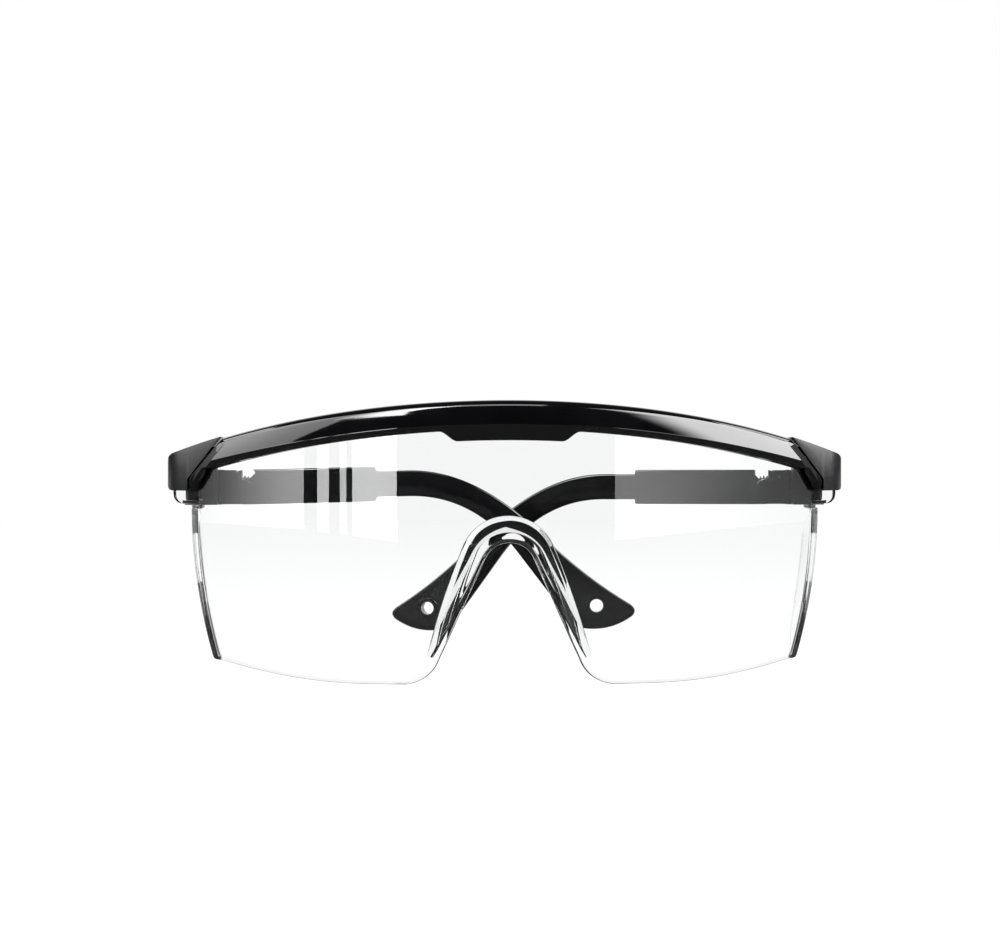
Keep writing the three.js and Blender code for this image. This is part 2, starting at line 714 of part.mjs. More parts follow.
// The link's disc: round, with ratchet teeth in a window at the top.
function ratchetOutline() {
  const root = PIVOT_REACH - DISC_ROOT;
  const edge = radians(WINDOW_END);
  const outline = new THREE.Shape();
  outline.moveTo(root, -discRadius);
  outline.lineTo(PIVOT_REACH, -discRadius);
  outline.absarc(PIVOT_REACH, 0, discRadius, -Math.PI / 2, radians(WINDOW_START), false);
  spread(TEETH_START, TEETH_END, 2 * TEETH).forEach((degrees, step) => {
    const angle = radians(degrees);
    const reach = step % 2 ? TOOTH_TIP : TOOTH_ROOT;
    outline.lineTo(PIVOT_REACH + reach * Math.cos(angle), reach * Math.sin(angle));
  });
  outline.lineTo(PIVOT_REACH + discRadius * Math.cos(edge), discRadius * Math.sin(edge));
  outline.lineTo(root, discRadius * Math.sin(edge));
  return outline;
}

function hingeLink() {
  const barrelBottom = lowerLugTop + RUNNING_GAP - templeZ;
  const barrelTop = upperLugBottom - RUNNING_GAP - templeZ;
  const neck = LUG_RADIUS + LINK_NECK;
  const bodyEnd = PIVOT_REACH - templeHalf - LINK_BODY_GAP;
  const disc = frontPlate(ratchetOutline(), 0, DISC_THICKNESS, 12);
  const body = block(neck, bodyEnd, 0, TEMPLE_THICKNESS, -templeHalf, templeHalf);
  const web = block(0, neck + LINK_ROOT, 0, BARREL_RADIUS, barrelBottom, barrelTop);
  const barrel = upright(BARREL_RADIUS, 0, 0, barrelBottom, barrelTop);
  const shoulder = block(
    bodyEnd - SHOULDER_ROOT, PIVOT_REACH - SHOULDER_END,
    0, DISC_THICKNESS, -discRadius, discRadius);
  const pinHole = upright(
    PIN_RADIUS + BARREL_GAP, 0, 0, -templeHalf - cutBeyond, templeHalf + cutBeyond);
  return joinAll(barrel, web, body, shoulder, disc)
    .subtract(pinHole).subtract(rivetHole(RIVET_GAP));
}

// What a rivet takes out of a piece of the temple.
function rivetHole(clearance) {
  return crossBar(
    RIVET_RADIUS + clearance, PIVOT_REACH, 0, -cutBeyond, TEMPLE_THICKNESS + cutBeyond);
}

function ratchetRivet() {
  const innerFace = -HEAD_GAP;
  const outerFace = TEMPLE_THICKNESS + HEAD_GAP;
  const innerHead = crossBar(RIVET_HEAD_RADIUS, PIVOT_REACH, 0, innerFace - RIVET_HEAD, innerFace);
  const outerHead = crossBar(RIVET_HEAD_RADIUS, PIVOT_REACH, 0, outerFace, outerFace + RIVET_HEAD);
  const shaft = crossBar(
    RIVET_RADIUS, PIVOT_REACH, 0, -RIVET_HEAD, TEMPLE_THICKNESS + RIVET_HEAD);
  return joinAll(innerHead, shaft, outerHead);
}

function sleeveOutline() {
  const end = SLEEVE_LENGTH;
  const bend = end - SLEEVE_CORNER;
  const side = templeHalf - SLEEVE_CORNER;
  const outline = new THREE.Shape();
  outline.moveTo(PIVOT_REACH, -templeHalf);
  outline.lineTo(bend, -templeHalf);
  outline.quadraticCurveTo(end, -templeHalf, end, -side);
  outline.lineTo(end, side);
  outline.quadraticCurveTo(end, templeHalf, bend, templeHalf);
  outline.lineTo(PIVOT_REACH, templeHalf);
  outline.absarc(PIVOT_REACH, 0, templeHalf, Math.PI / 2, 3 * Math.PI / 2, false);
  return outline;
}

function templeSleeve() {
  const outside = TEMPLE_THICKNESS + cutBeyond;
  const middle = TEMPLE_THICKNESS / 2;
  const cavityFace = EAR_THICKNESS / 2 + SLIDE_GAP;
  const discRoom = crossBar(
    templeHalf + DISC_GAP, PIVOT_REACH, 0, -cutBeyond, DISC_THICKNESS + RUNNING_GAP, 40);
  const cavity = block(
    cavityStart, SLEEVE_LENGTH + cutBeyond, middle - cavityFace, middle + cavityFace,
    -cavityTop, cavityTop);
  const notch = block(
    PIVOT_REACH - NOTCH_BEFORE, PIVOT_REACH + NOTCH_AFTER, -cutBeyond, outside,
    templeHalf - NOTCH_DEPTH, templeHalf + cutBeyond);
  const nibSlot = block(
    cavityStart + NIB_SLOT_START, SLEEVE_LENGTH - NIB_SLOT_END, middle, outside,
    -NIB_SLOT_HALF, NIB_SLOT_HALF);
  return frontPlate(sleeveOutline(), 0, TEMPLE_THICKNESS, 10)
    .subtract(discRoom).subtract(cavity).subtract(notch).subtract(nibSlot)
    .subtract(rivetHole(RIVET_ROOM));
}

function earOutline() {
  const shankHalf = cavityTop - SLIDE_GAP;
  const start = SLEEVE_LENGTH - EAR_INSIDE;
  const bend = start + EAR_SHANK;
  const hook = ([u, w]) => [EAR_REACH + u, w - EAR_DROP];
  const [underU, underW] = BEND_UNDER.end;
  const [overU, overW] = BEND_OVER.start;
  const outline = new THREE.Shape();
  outline.moveTo(start, -shankHalf);
  outline.lineTo(bend, -shankHalf);
  outline.quadraticCurveTo(bend + BEND_UNDER.control, -shankHalf, bend + underU, underW);
  outline.lineTo(...hook(HOOK_START));
  HOOK_CURVES.forEach(([control, end]) => {
    outline.quadraticCurveTo(...hook(control), ...hook(end));
  });
  outline.quadraticCurveTo(...hook(HOOK_BACK), bend + overU, overW);
  outline.quadraticCurveTo(bend + BEND_OVER.control, shankHalf, bend, shankHalf);
  outline.lineTo(start, shankHalf);
  return outline;
}

function earPiece() {
  const holeU = EAR_REACH - CORD_FROM_TIP;
  const holeW = CORD_RISE - EAR_DROP;
  const nibStart = PIVOT_REACH + templeHalf + NIB_REACH;
  const nib = block(
    nibStart, nibStart + NIB_LENGTH, earFar - NIB_ROOT, TEMPLE_THICKNESS - NIB_INSET,
    -NIB_HALF, NIB_HALF);
  const rim = crossBar(
    CORD_HOLE / 2 + CORD_RIM, holeU, holeW, earNear - CORD_RIM_RISE, earFar + CORD_RIM_RISE);
  return joinAll(frontPlate(earOutline(), earNear, earFar, 9), nib, rim)
    .subtract(crossBar(CORD_HOLE / 2, holeU, holeW, earNear - cutBeyond, earFar + cutBeyond));
}

// ---------------------------------------------------------------- assembly

const blackPlastic = { color: 0x0c0c0f, roughness: 0.18, metalness: 0 };
const satinBlack = { color: 0x17171b, roughness: 0.4, metalness: 0 };
const clearPlastic = { color: 0xf2f6f6, roughness: 0.04, metalness: 0 };
const steel = { color: 0x9a9ca0, roughness: 0.3, metalness: 1 };

const glasses = new THREE.Group();

function addPiece(parent, name, body, finish) {
  const mesh = new THREE.Mesh(geometryOf(body), new THREE.MeshStandardMaterial(finish));
  mesh.name = name;
  parent.add(mesh);
}

addPiece(glasses, 'brow_bar', browBar(), blackPlastic);
addPiece(glasses, 'lens', lens(), clearPlastic);
addPiece(glasses, 'left_end_cap', endCap(), satinBlack);
addPiece(glasses, 'right_end_cap', mirrored(endCap()), satinBlack);
addPiece(glasses, 'left_hinge_pin', hingePin(), steel);
addPiece(glasses, 'right_hinge_pin', mirrored(hingePin()), steel);

function addTemple(name, side, fold, tilt) {
  const folding = new THREE.Group();
  folding.position.set(side * hingeX, 0, templeZ);
  folding.scale.x = -side;
  folding.rotation.z = -side * radians(fold);
  const tilting = new THREE.Group();
  tilting.position.x = PIVOT_REACH;
  tilting.rotation.y = -radians(tilt);
  const sliding = new THREE.Group();
  sliding.position.x = -PIVOT_REACH;
  tilting.add(sliding);
  folding.add(tilting);
  glasses.add(folding);
  addPiece(folding, `${name}_hinge_link`, hingeLink(), blackPlastic);
  addPiece(folding, `${name}_ratchet_rivet`, ratchetRivet(), blackPlastic);
  addPiece(sliding, `${name}_temple_sleeve`, templeSleeve(), blackPlastic);
  addPiece(sliding, `${name}_ear_piece`, earPiece(), blackPlastic);
}

addTemple('right', -1, RIGHT_FOLD, RIGHT_TILT);
addTemple('left', 1, LEFT_FOLD, LEFT_TILT);

// The origin goes to the middle of the underside.
glasses.updateMatrixWorld(true);
const bounds = new THREE.Box3().setFromObject(glasses, true);
const centre = bounds.getCenter(new THREE.Vector3());
glasses.position.set(-centre.x, -centre.y, -bounds.min.z);

export default glasses;
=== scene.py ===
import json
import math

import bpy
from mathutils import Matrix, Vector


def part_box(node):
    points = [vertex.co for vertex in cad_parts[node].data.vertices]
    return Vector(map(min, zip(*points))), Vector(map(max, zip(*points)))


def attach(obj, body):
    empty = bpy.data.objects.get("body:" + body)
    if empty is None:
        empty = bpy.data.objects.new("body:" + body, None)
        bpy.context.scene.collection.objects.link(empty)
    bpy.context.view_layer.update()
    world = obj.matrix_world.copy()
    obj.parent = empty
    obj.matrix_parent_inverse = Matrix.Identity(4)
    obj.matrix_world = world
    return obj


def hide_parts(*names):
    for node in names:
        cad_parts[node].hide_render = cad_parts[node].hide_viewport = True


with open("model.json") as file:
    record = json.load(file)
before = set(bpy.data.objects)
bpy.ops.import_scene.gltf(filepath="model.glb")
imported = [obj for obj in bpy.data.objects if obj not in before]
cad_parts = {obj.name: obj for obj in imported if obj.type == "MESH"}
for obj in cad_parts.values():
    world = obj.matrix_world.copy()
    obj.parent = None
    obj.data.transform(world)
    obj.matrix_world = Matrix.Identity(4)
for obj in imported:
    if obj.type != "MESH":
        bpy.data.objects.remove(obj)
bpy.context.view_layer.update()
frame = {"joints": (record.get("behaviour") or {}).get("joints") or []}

# %% [markdown]
# # Safety glasses
# One wrap-round clear lens hangs from a glossy black brow bar. A cap covers each upper corner and
# carries the hinge, and behind it a folded temple is made of a link, a sleeve and a sliding ear
# piece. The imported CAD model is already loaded: it fixes every size and joint, and the pieces made
# below stand in for its faceted solids with smooth surfaces and real finishes.

MM = 0.001
joints = {joint["name"]: joint for joint in frame["joints"]}
fold_axis = Vector(joints["left_fold"]["pos_m"])
CAP_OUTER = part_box("left_end_cap")[1].x / MM
AXIS_X, AXIS_Y, TEMPLE_Z = (value / MM for value in fold_axis)
print("fold axis, mm:", round(AXIS_X, 2), round(AXIS_Y, 2), "temple middle", round(TEMPLE_Z, 2))

# %% [markdown]
# ## The curves of the front
# The whole front follows one shallow curve in plan, deepest at the nose. Bar, lens and caps all sit
# on it, so it is written once: a point is given by its place across, how far it lies behind the
# curve, and its height. Heights of the bar's two edges fall away towards the corners.

# %% Wrap curve, bar edges and lens edge
LENS_HALF = CAP_OUTER - 5.4
WRAP_DEPTH = 20.2
WRAP_FRONT = -7.8
BAR_TOP = TEMPLE_Z + 19.1
BAR_BOTTOM = TEMPLE_Z + 12.6
BAR_TOP_FALL = 10.4
BAR_BOTTOM_FALL = 9.75
BAR_TOP_SQUARE = 0.875
LENS_WALL = 2.0
LENS_SEAT = 2.6
SHIELD_TOP = 38.4
SIDE_TAPER = 0.089


def wrap_slope(x):
    return 2 * WRAP_DEPTH * x / LENS_HALF ** 2


def wrap_y(x):
    return WRAP_FRONT - WRAP_DEPTH * (1 - (x / LENS_HALF) ** 2)


def on_wrap(x, behind, z):
    slope = wrap_slope(x)
    run = math.hypot(1, slope)
    return (x - behind * slope / run, wrap_y(x) + behind / run, z)


def bar_top(x):
    t = abs(x) / LENS_HALF
    return BAR_TOP - BAR_TOP_FALL * (BAR_TOP_SQUARE * t ** 2 + (1 - BAR_TOP_SQUARE) * t ** 4)


def bar_bottom(x):
    return BAR_BOTTOM - BAR_BOTTOM_FALL * (x / LENS_HALF) ** 2


def spread(start, end, steps):
    return [start + (end - start) * i / steps for i in range(steps + 1)]


def smoothstep(value, low, high):
    t = min(1, max(0, (value - low) / (high - low)))
    return t * t * (3 - 2 * t)


print("wrap curve: middle", round(wrap_y(0), 2), "corner", round(wrap_y(LENS_HALF), 2))

# %% [markdown]
# ## Working habits
# Operators act on whatever is selected, so each step starts by clearing the selection and picking
# one object. Pieces are drawn in millimetres, because the cutting tools work best on shapes tens of
# units across, and each finished piece is scaled to metres and moved into the frame. Its place is
# then in its mesh, and its object is at the origin.

# %% Selecting, finishing and cutting


def only(*objects):
    if bpy.context.mode != "OBJECT":
        bpy.ops.object.mode_set(mode="OBJECT")
    bpy.ops.object.select_all(action="DESELECT")
    for obj in objects:
        obj.select_set(True)
    bpy.context.view_layer.objects.active = objects[0]


def select_all_in(obj, mode="VERT"):
    only(obj)
    bpy.ops.object.mode_set(mode="EDIT")
    bpy.ops.mesh.select_mode(type=mode)
    bpy.ops.mesh.select_all(action="SELECT")


def done(obj):
    bpy.ops.object.mode_set(mode="OBJECT")
    return obj


def faces_outwards(obj, merge=0.002):
    select_all_in(obj)
    bpy.ops.mesh.remove_doubles(threshold=merge)
    bpy.ops.mesh.select_all(action="SELECT")
    bpy.ops.mesh.normals_make_consistent(inside=False)
    return done(obj)


def named(obj, name):
    obj.name = name
    obj.data.name = name
    return obj


def apply_place():
    bpy.ops.object.transform_apply(location=True, rotation=True, scale=True)


def apply_modifier(obj, kind, **settings):
    only(obj)
    modifier = obj.modifiers.new(kind.lower(), kind)
    for key, value in settings.items():
        setattr(modifier, key, value)
    bpy.ops.object.modifier_apply(modifier=modifier.name)
    return obj


def combine(obj, operation, *tools):
    for tool in tools:
        apply_modifier(obj, "BOOLEAN", operation=operation, object=tool, solver="EXACT")
        bpy.data.objects.remove(tool)
    return obj


def cut(obj, *tools):
    return combine(obj, "DIFFERENCE", *tools)


def weld(obj, *tools):
    return combine(obj, "UNION", *tools)


def ease_edges(obj, width, steps=2, angle=35):
    return apply_modifier(
        obj, "BEVEL", width=width, segments=steps, limit_method="ANGLE",
        angle_limit=math.radians(angle), use_clamp_overlap=True, harden_normals=False)


def smooth(obj, angle=32):
    only(obj)
    bpy.ops.object.shade_smooth_by_angle(angle=math.radians(angle))
    return obj


def report(obj):
    bpy.context.view_layer.update()
    size = [round(value, 2) for value in obj.dimensions]
    print(f"{obj.name}: {size}, {len(obj.data.polygons)} faces")
    return obj


# %% [markdown]
# ## Three ways to start a solid
# *Swept*: a flat grid whose rows become the cross-sections of a long piece; its seam is merged and
# its ends are filled. *Plate*: a disc with as many corners as an outline, pulled to the outline and
# extruded. *Turned*: a half outline spun about an axis. Plain boxes and bars serve for short bodies
# and as cutting tools, so these few are enough for every piece here.

# %% Swept, plate, box, bar and turned


def set_points(obj, points):
    obj.data.vertices.foreach_set("co", [value for point in points for value in point])
    obj.data.update()


def swept(name, rings):
    around = len(rings[0])
    bpy.ops.mesh.primitive_grid_add(x_subdivisions=around, y_subdivisions=len(rings) - 1)
    obj = named(bpy.context.object, name)
    set_points(obj, [point for ring in rings for point in [*ring, ring[0]]])
    select_all_in(obj)
    bpy.ops.mesh.remove_doubles(threshold=0.0001)
    bpy.ops.mesh.select_all(action="SELECT")
    bpy.ops.mesh.fill_holes(sides=0)
    done(obj)
    return faces_outwards(obj, 0.0001)


def plate(name, outline, near, far, turn):
    """outline is a list of (a, b); turn(a, b, depth) gives the point."""
    bpy.ops.mesh.primitive_circle_add(vertices=len(outline), fill_type="NGON")
    obj = named(bpy.context.object, name)
    set_points(obj, [turn(a, b, near) for a, b in outline])
    step = Vector(turn(0, 0, far)) - Vector(turn(0, 0, near))
    select_all_in(obj, "FACE")
    bpy.ops.mesh.extrude_region_move(TRANSFORM_OT_translate={"value": step})
    done(obj)
    return faces_outwards(obj)


def front_plate(name, outline, near, far):
    return plate(name, outline, near, far, lambda a, b, depth: (a, depth, b))


def plan_plate(name, outline, near, far):
    return plate(name, outline, near, far, lambda a, b, depth: (a, b, depth))


def box(name, x, y, z):
    centre = [(low + high) / 2 for low, high in (x, y, z)]
    size = [high - low for low, high in (x, y, z)]
    bpy.ops.mesh.primitive_cube_add(size=1, location=centre, scale=size)
    apply_place()
    return named(bpy.context.object, name)


def bar(name, radius, start, end, sides=48):
    start, end = Vector(start), Vector(end)
    turn = (end - start).to_track_quat("Z", "Y").to_euler()
    bpy.ops.mesh.primitive_cylinder_add(
        vertices=sides, radius=radius, depth=(end - start).length,
        location=(start + end) / 2, rotation=turn)
    apply_place()
    return named(bpy.context.object, name)


def turned(name, profile, steps=48):
    """profile is a list of (radius, height) from the bottom of the Z axis to its top."""
    bpy.ops.mesh.primitive_circle_add(vertices=len(profile), fill_type="NOTHING")
    obj = named(bpy.context.object, name)
    set_points(obj, [(radius, 0, height) for radius, height in profile])
    only(obj)
    for edge in obj.data.edges:
        edge.select = set(edge.vertices) == {0, len(profile) - 1}
    for vertex in obj.data.vertices:
        vertex.select = False
    bpy.ops.object.mode_set(mode="EDIT")
    bpy.ops.mesh.select_mode(type="EDGE")
    bpy.ops.mesh.delete(type="EDGE")
    bpy.ops.mesh.select_all(action="SELECT")
    bpy.ops.mesh.spin(steps=steps, angle=2 * math.pi, center=(0, 0, 0), axis=(0, 0, 1))
    done(obj)
    return faces_outwards(obj, 0.005)


def arc(centre, radius, start, end, steps):
    return [
        (centre[0] + radius * math.cos(math.radians(a)),
         centre[1] + radius * math.sin(math.radians(a)))
        for a in spread(start, end, steps)]


def curve_points(start, control, end, steps):
    return [
        start * (1 - t) ** 2 + control * 2 * t * (1 - t) + end * t ** 2
        for t in spread(0, 1, steps)]


def soft_corner(start, control, end, steps):
    return [tuple(point) for point in curve_points(start, control, end, steps)]


def rounded(points, radii, steps=4):
    """The closed outline with each corner replaced by a short curve."""
    out = []
    count = len(points)
    for i, (point, radius) in enumerate(zip(points, radii)):
        here = Vector(point)
        if radius == 0:
            out.append(tuple(here))
            continue
        before, after = Vector(points[i - 1]), Vector(points[(i + 1) % count])
        reach_in = min(radius, (before - here).length * 0.48)
        reach_out = min(radius, (after - here).length * 0.48)
        start = here + (before - here).normalized() * reach_in
        end = here + (after - here).normalized() * reach_out
        out += soft_corner(start, here, end, steps)
    return out


def to_frame(obj):
    """The front is drawn in mm from between the fold axes, the frame from the underside's middle."""
    only(obj)
    obj.scale = (MM, MM, MM)
    obj.location.y = AXIS_Y * MM
    apply_place()
    return obj


def flip(obj):
    only(obj)
    obj.scale.x = -1
    apply_place()
    return faces_outwards(obj, 0.0001)


def flipped(obj, name):
    """A copy mirrored to the other side, with its own mesh."""
    only(obj)
    bpy.ops.object.duplicate()
    return flip(named(bpy.context.object, name))


# %% [markdown]
# ## The brow bar
# The bar is a long moulding with a flat-fronted upper face, a crease low on its front and a bevel
# under it, dropping a little over the nose. A section could be bent round a curve by a modifier,
# but sweeping the true section station by station keeps the lens slot and the drop exact. Each
# corner of the section is rounded, because it is the roundings that catch the light.

# %% Section of the bar, with the slot for the lens
BAR_PROUD = 3.6
BAR_REAR = LENS_WALL + 2.2
SLOT_GAP = 0.3
NOSE_DROP = 2.3
NOSE_DROP_HALF = 11.2
NOSE_DROP_RAMP = 4.0
CREASE = 1.15
LEAST_BEVEL = 0.8
CROWN = 0.1
CROWN_STEPS = 8
FACE_FOOT_BACK = 1.4
REAR_FOOT_RISE = 0.15
TOP_REAR_CHAMFER = 1.0
TOP_FRONT = 0.6
BROW_BACK = 1.0
BROW_DROP = 0.9
BAR_RADII = [0.4, 0.2, 0, 0, 0.2, 0.7, 0.8, 0.8, 0.9, 0.9, 0.35]
BAR_ROUND_STEPS = 5
CAP_BOTTOM = TEMPLE_Z - 0.7
JOINT_TOP = CAP_OUTER - 12.6
JOINT_FOOT = CAP_OUTER - 4.9
JOINT_FOOT_Z = CAP_BOTTOM + 2.6
TAIL_START = JOINT_FOOT - 4.6
TAIL_FALL = 1.6
TAIL_CREASE_FALL = 0.6
TAIL_FOOT_GAP = 0.1


def bar_section(x):
    away = abs(x)
    over = smoothstep(away, NOSE_DROP_HALF, NOSE_DROP_HALF + NOSE_DROP_RAMP)
    tail = max(0, away - TAIL_START)
    top = bar_top(x)
    bottom = max(
        CAP_BOTTOM + TAIL_FOOT_GAP, bar_bottom(x) - NOSE_DROP * (1 - over) - TAIL_FALL * tail)
    crease = max(bar_bottom(x) + CREASE - TAIL_CREASE_FALL * tail, bottom + LEAST_BEVEL)
    slot_top = bar_bottom(x) + LENS_SEAT + SLOT_GAP
    slot_rear = LENS_WALL + SLOT_GAP
    corners = [
        (FACE_FOOT_BACK - BAR_PROUD, bottom), (-SLOT_GAP, bottom), (-SLOT_GAP, slot_top),
        (slot_rear, slot_top), (slot_rear, bottom + REAR_FOOT_RISE),
        (BAR_REAR, bottom + 2 * REAR_FOOT_RISE),
        (BAR_REAR, top - TOP_REAR_CHAMFER), (BAR_REAR - TOP_REAR_CHAMFER, top), (-TOP_FRONT, top),
        (BROW_BACK - BAR_PROUD, top - BROW_DROP), (-BAR_PROUD, crease)]
    ring = rounded(corners, BAR_RADII, BAR_ROUND_STEPS)
    crease_start = len(ring) - BAR_ROUND_STEPS - 1
    brow, low = Vector(ring[crease_start - 1]), Vector(ring[crease_start])
    crown = (brow + low) / 2 + Vector((-2 * CROWN, 0))
    ring[crease_start:crease_start] = soft_corner(brow, crown, low, CROWN_STEPS)[1:-1]
    return [on_wrap(x, behind, z) for behind, z in ring]


ramp_end = NOSE_DROP_HALF + NOSE_DROP_RAMP
bar_stations = [
    *spread(0, NOSE_DROP_HALF, 10), *spread(NOSE_DROP_HALF, ramp_end, 14)[1:],
    *spread(ramp_end, TAIL_START, 56)[1:],
    *spread(TAIL_START, JOINT_FOOT + 1, 10)[1:]]
bar_stations = [-x for x in reversed(bar_stations[1:])] + bar_stations
brow_bar = swept("brow_bar_moulding", [bar_section(x) for x in bar_stations])
report(brow_bar)

# %% [markdown]
# Each end of the bar is sliced off along the slanting joint with the cap, and upright below it. A
# bisect that fills its cut does this as a saw would. A shallow channel beside the joint, which
# leaves a second slanting line, is cut with a tool that follows the wrap curve.

# %% Slanting ends, channels and the cap's room
joint_run = Vector((JOINT_FOOT - JOINT_TOP, JOINT_FOOT_Z - bar_top(JOINT_TOP)))
joint_inboard = Vector((joint_run.y, -joint_run.x)).normalized()
CHANNEL_WIDTH = 1.6
CHANNEL_DEPTH = 0.9
CHANNEL_TOOL = (36, 64)
TOOL_OVERRUN = 8
TONGUE_HALF = 1.1
TONGUE_LOW = 3
TONGUE_HIGH = 1.5
TONGUE_ROOT = 1
TONGUE_REACH = 6.3
WEB_ROOM_INNER = 5.3
WEB_ROOM_Y = (-6.7, -2.9)
WEB_ROOM_Z = (39, 49.8)


def slice_off(obj, point, outward):
    select_all_in(obj)
    bpy.ops.mesh.bisect(
        plane_co=Vector(point), plane_no=Vector(outward), use_fill=True, clear_outer=True)
    return done(obj)


for side in (-1, 1):
    outward = (-side * joint_inboard.x, 0, -joint_inboard.y)
    start = Vector((JOINT_TOP, bar_top(JOINT_TOP))) + joint_inboard * SLOT_GAP
    slice_off(brow_bar, (side * start.x, 0, start.y), outward)
    slice_off(brow_bar, (side * (JOINT_FOOT - SLOT_GAP), 0, 0), (side, 0, 0))


def joint_strip(name, inner, outer):
    """A slanting prism beside the joint, between two distances inboard of it."""
    along = joint_run.normalized()
    top = Vector((JOINT_TOP, bar_top(JOINT_TOP))) - along * TOOL_OVERRUN
    foot = Vector((JOINT_FOOT, JOINT_FOOT_Z)) + along * TOOL_OVERRUN
    corners = [
        top + joint_inboard * inner, top + joint_inboard * outer,
        foot + joint_inboard * outer, foot + joint_inboard * inner]
    return front_plate(name, [tuple(corner) for corner in corners], wrap_y(0) - 6, 4)


def channel_tool():
    low, high = CHANNEL_TOOL
    skin = swept("skin", [
        [on_wrap(x, behind, z) for behind, z in (
            (-BAR_PROUD - 3, low), (CHANNEL_DEPTH - BAR_PROUD, low),
            (CHANNEL_DEPTH - BAR_PROUD, high), (-BAR_PROUD - 3, high))]
        for x in spread(JOINT_TOP - 9, CAP_OUTER + 2, 16)])
    strip = joint_strip("strip", CHANNEL_WIDTH, -1)
    return combine(skin, "INTERSECT", strip)


def tongue_body(name, gap):
    """The tongue that ties bar and cap, or its pocket, which is larger by gap all round."""
    half = TONGUE_HALF
    return swept(name, [
        [on_wrap(x, behind, z) for behind, z in (
            (-half - gap, bar_top(x) - TONGUE_LOW - gap),
            (half + gap, bar_top(x) - TONGUE_LOW - gap),
            (half + gap, bar_top(x) - TONGUE_HIGH + gap),
            (-half - gap, bar_top(x) - TONGUE_HIGH + gap))]
        for x in spread(JOINT_TOP - TONGUE_ROOT, JOINT_TOP + TONGUE_REACH + gap, 6)])


def web_room(name):
    return box(name, (AXIS_X - WEB_ROOM_INNER, CAP_OUTER), WEB_ROOM_Y, WEB_ROOM_Z)


ease_edges(brow_bar, 0.12, 2, 40)
for side in (1, -1):
    tools = [channel_tool(), web_room("room")]
    if side < 0:
        tools = [flip(tool) for tool in tools]
    cut(brow_bar, *tools)
for side in (1, -1):
    tongue = tongue_body("tongue", 0)
    weld(brow_bar, tongue if side > 0 else flip(tongue))
report(faces_outwards(brow_bar, 0.0002))
smooth(to_frame(brow_bar))

# %% [markdown]
# ## The lens
# Front and side shields are one clear moulding 2 mm thick, with an arched opening over the nose.
# Cutting the opening from a plain shell leaves ragged faces, which show in clear plastic. The lower
# end of every section follows the edge instead, up one leg of the opening, over its arch and down
# the other, so that the shell has even faces and a rounded edge all the way round.

# %% Outline of the nose opening
NOSE_TOP = 31.0
NOSE_ARCH = 5.9
NOSE_FOOT = Vector((16.4, 5.8))
NOSE_FOOT_CONTROL = Vector((18.55, 0.9))
NOSE_END = Vector((25.0, 0.0))
LEG_ANGLE = math.radians(25)
LEG_CONTROL = 16.4


def nose_side(top, radius, leg_angle, control, foot, arch_steps=18, leg_steps=22):
    turn = math.pi / 2 - leg_angle
    arch = [
        Vector((radius * math.sin(angle), top - radius * (1 - math.cos(angle))))
        for angle in spread(0, turn, arch_steps)]
    down = Vector((math.cos(turn), -math.sin(turn)))
    leg = curve_points(arch[-1], arch[-1] + down * control, foot, leg_steps)
    return arch + leg[1:]


opening = nose_side(NOSE_TOP, NOSE_ARCH, LEG_ANGLE, LEG_CONTROL, NOSE_FOOT)
opening += curve_points(NOSE_FOOT, NOSE_FOOT_CONTROL, NOSE_END, 14)[1:]
print("nose opening:", len(opening), "points on each side, foot at", tuple(opening[40]))

# %% [markdown]
# A section of the lens is a place in plan, the way it faces, and its lower and upper edge. The
# sections walk along the front, round a bend of constant radius and back along the shield, whose
# free end is rounded off by drawing the last sections together.

# %% Sections of the lens, from the middle to the rear edge of a shield
LENS_BEND = 4.0
SHIELD_REACH = 28.0
SHIELD_ANGLE = math.pi / 2 - math.radians(6.5)
SHIELD_RISE = 9.0
SHIELD_FALL = 6.4
SHIELD_ROUND = 9.0
BOTTOM_FLAT = 36.0
BOTTOM_CURVE = 0.0038
EDGE_ROUND = 0.35
LOW_ROUND = 0.75


def lens_bottom(x):
    return BOTTOM_CURVE * max(0, abs(x) - BOTTOM_FLAT) ** 2


def tapered(x, z):
    return x * (1 - SIDE_TAPER * max(0, 1 - z / SHIELD_TOP) ** 2)


def front_sections(bend_x):
    places = [(point.x, max(point.y, 0)) for point in opening]
    places += [(x, lens_bottom(x)) for x in spread(NOSE_END.x, bend_x, 44)[1:]]
    return [
        (x, wrap_y(x), math.atan(wrap_slope(x)), low, bar_bottom(x) + LENS_SEAT)
        for x, low in places]


def shield_sections(foot_x, foot_y, low):
    length = (SHIELD_REACH - foot_y) / math.sin(SHIELD_ANGLE)
    round_start = 1 - SHIELD_ROUND / length
    parts = spread(0.02, round_start, 14) + [
        1 - (1 - round_start) * (1 - math.sin(a)) for a in spread(0, math.pi / 2, 14)[1:]]
    sections = []
    for part in parts:
        into = max(0, (part - round_start) / (1 - round_start))
        lift = SHIELD_ROUND * (1 - math.sqrt(max(0, 1 - into ** 2)))
        sections.append((
            foot_x + part * length * math.cos(SHIELD_ANGLE),
            foot_y + part * length * math.sin(SHIELD_ANGLE), SHIELD_ANGLE,
            low + SHIELD_RISE * part ** 1.6 + lift, SHIELD_TOP - SHIELD_FALL * part ** 1.4))
    return sections


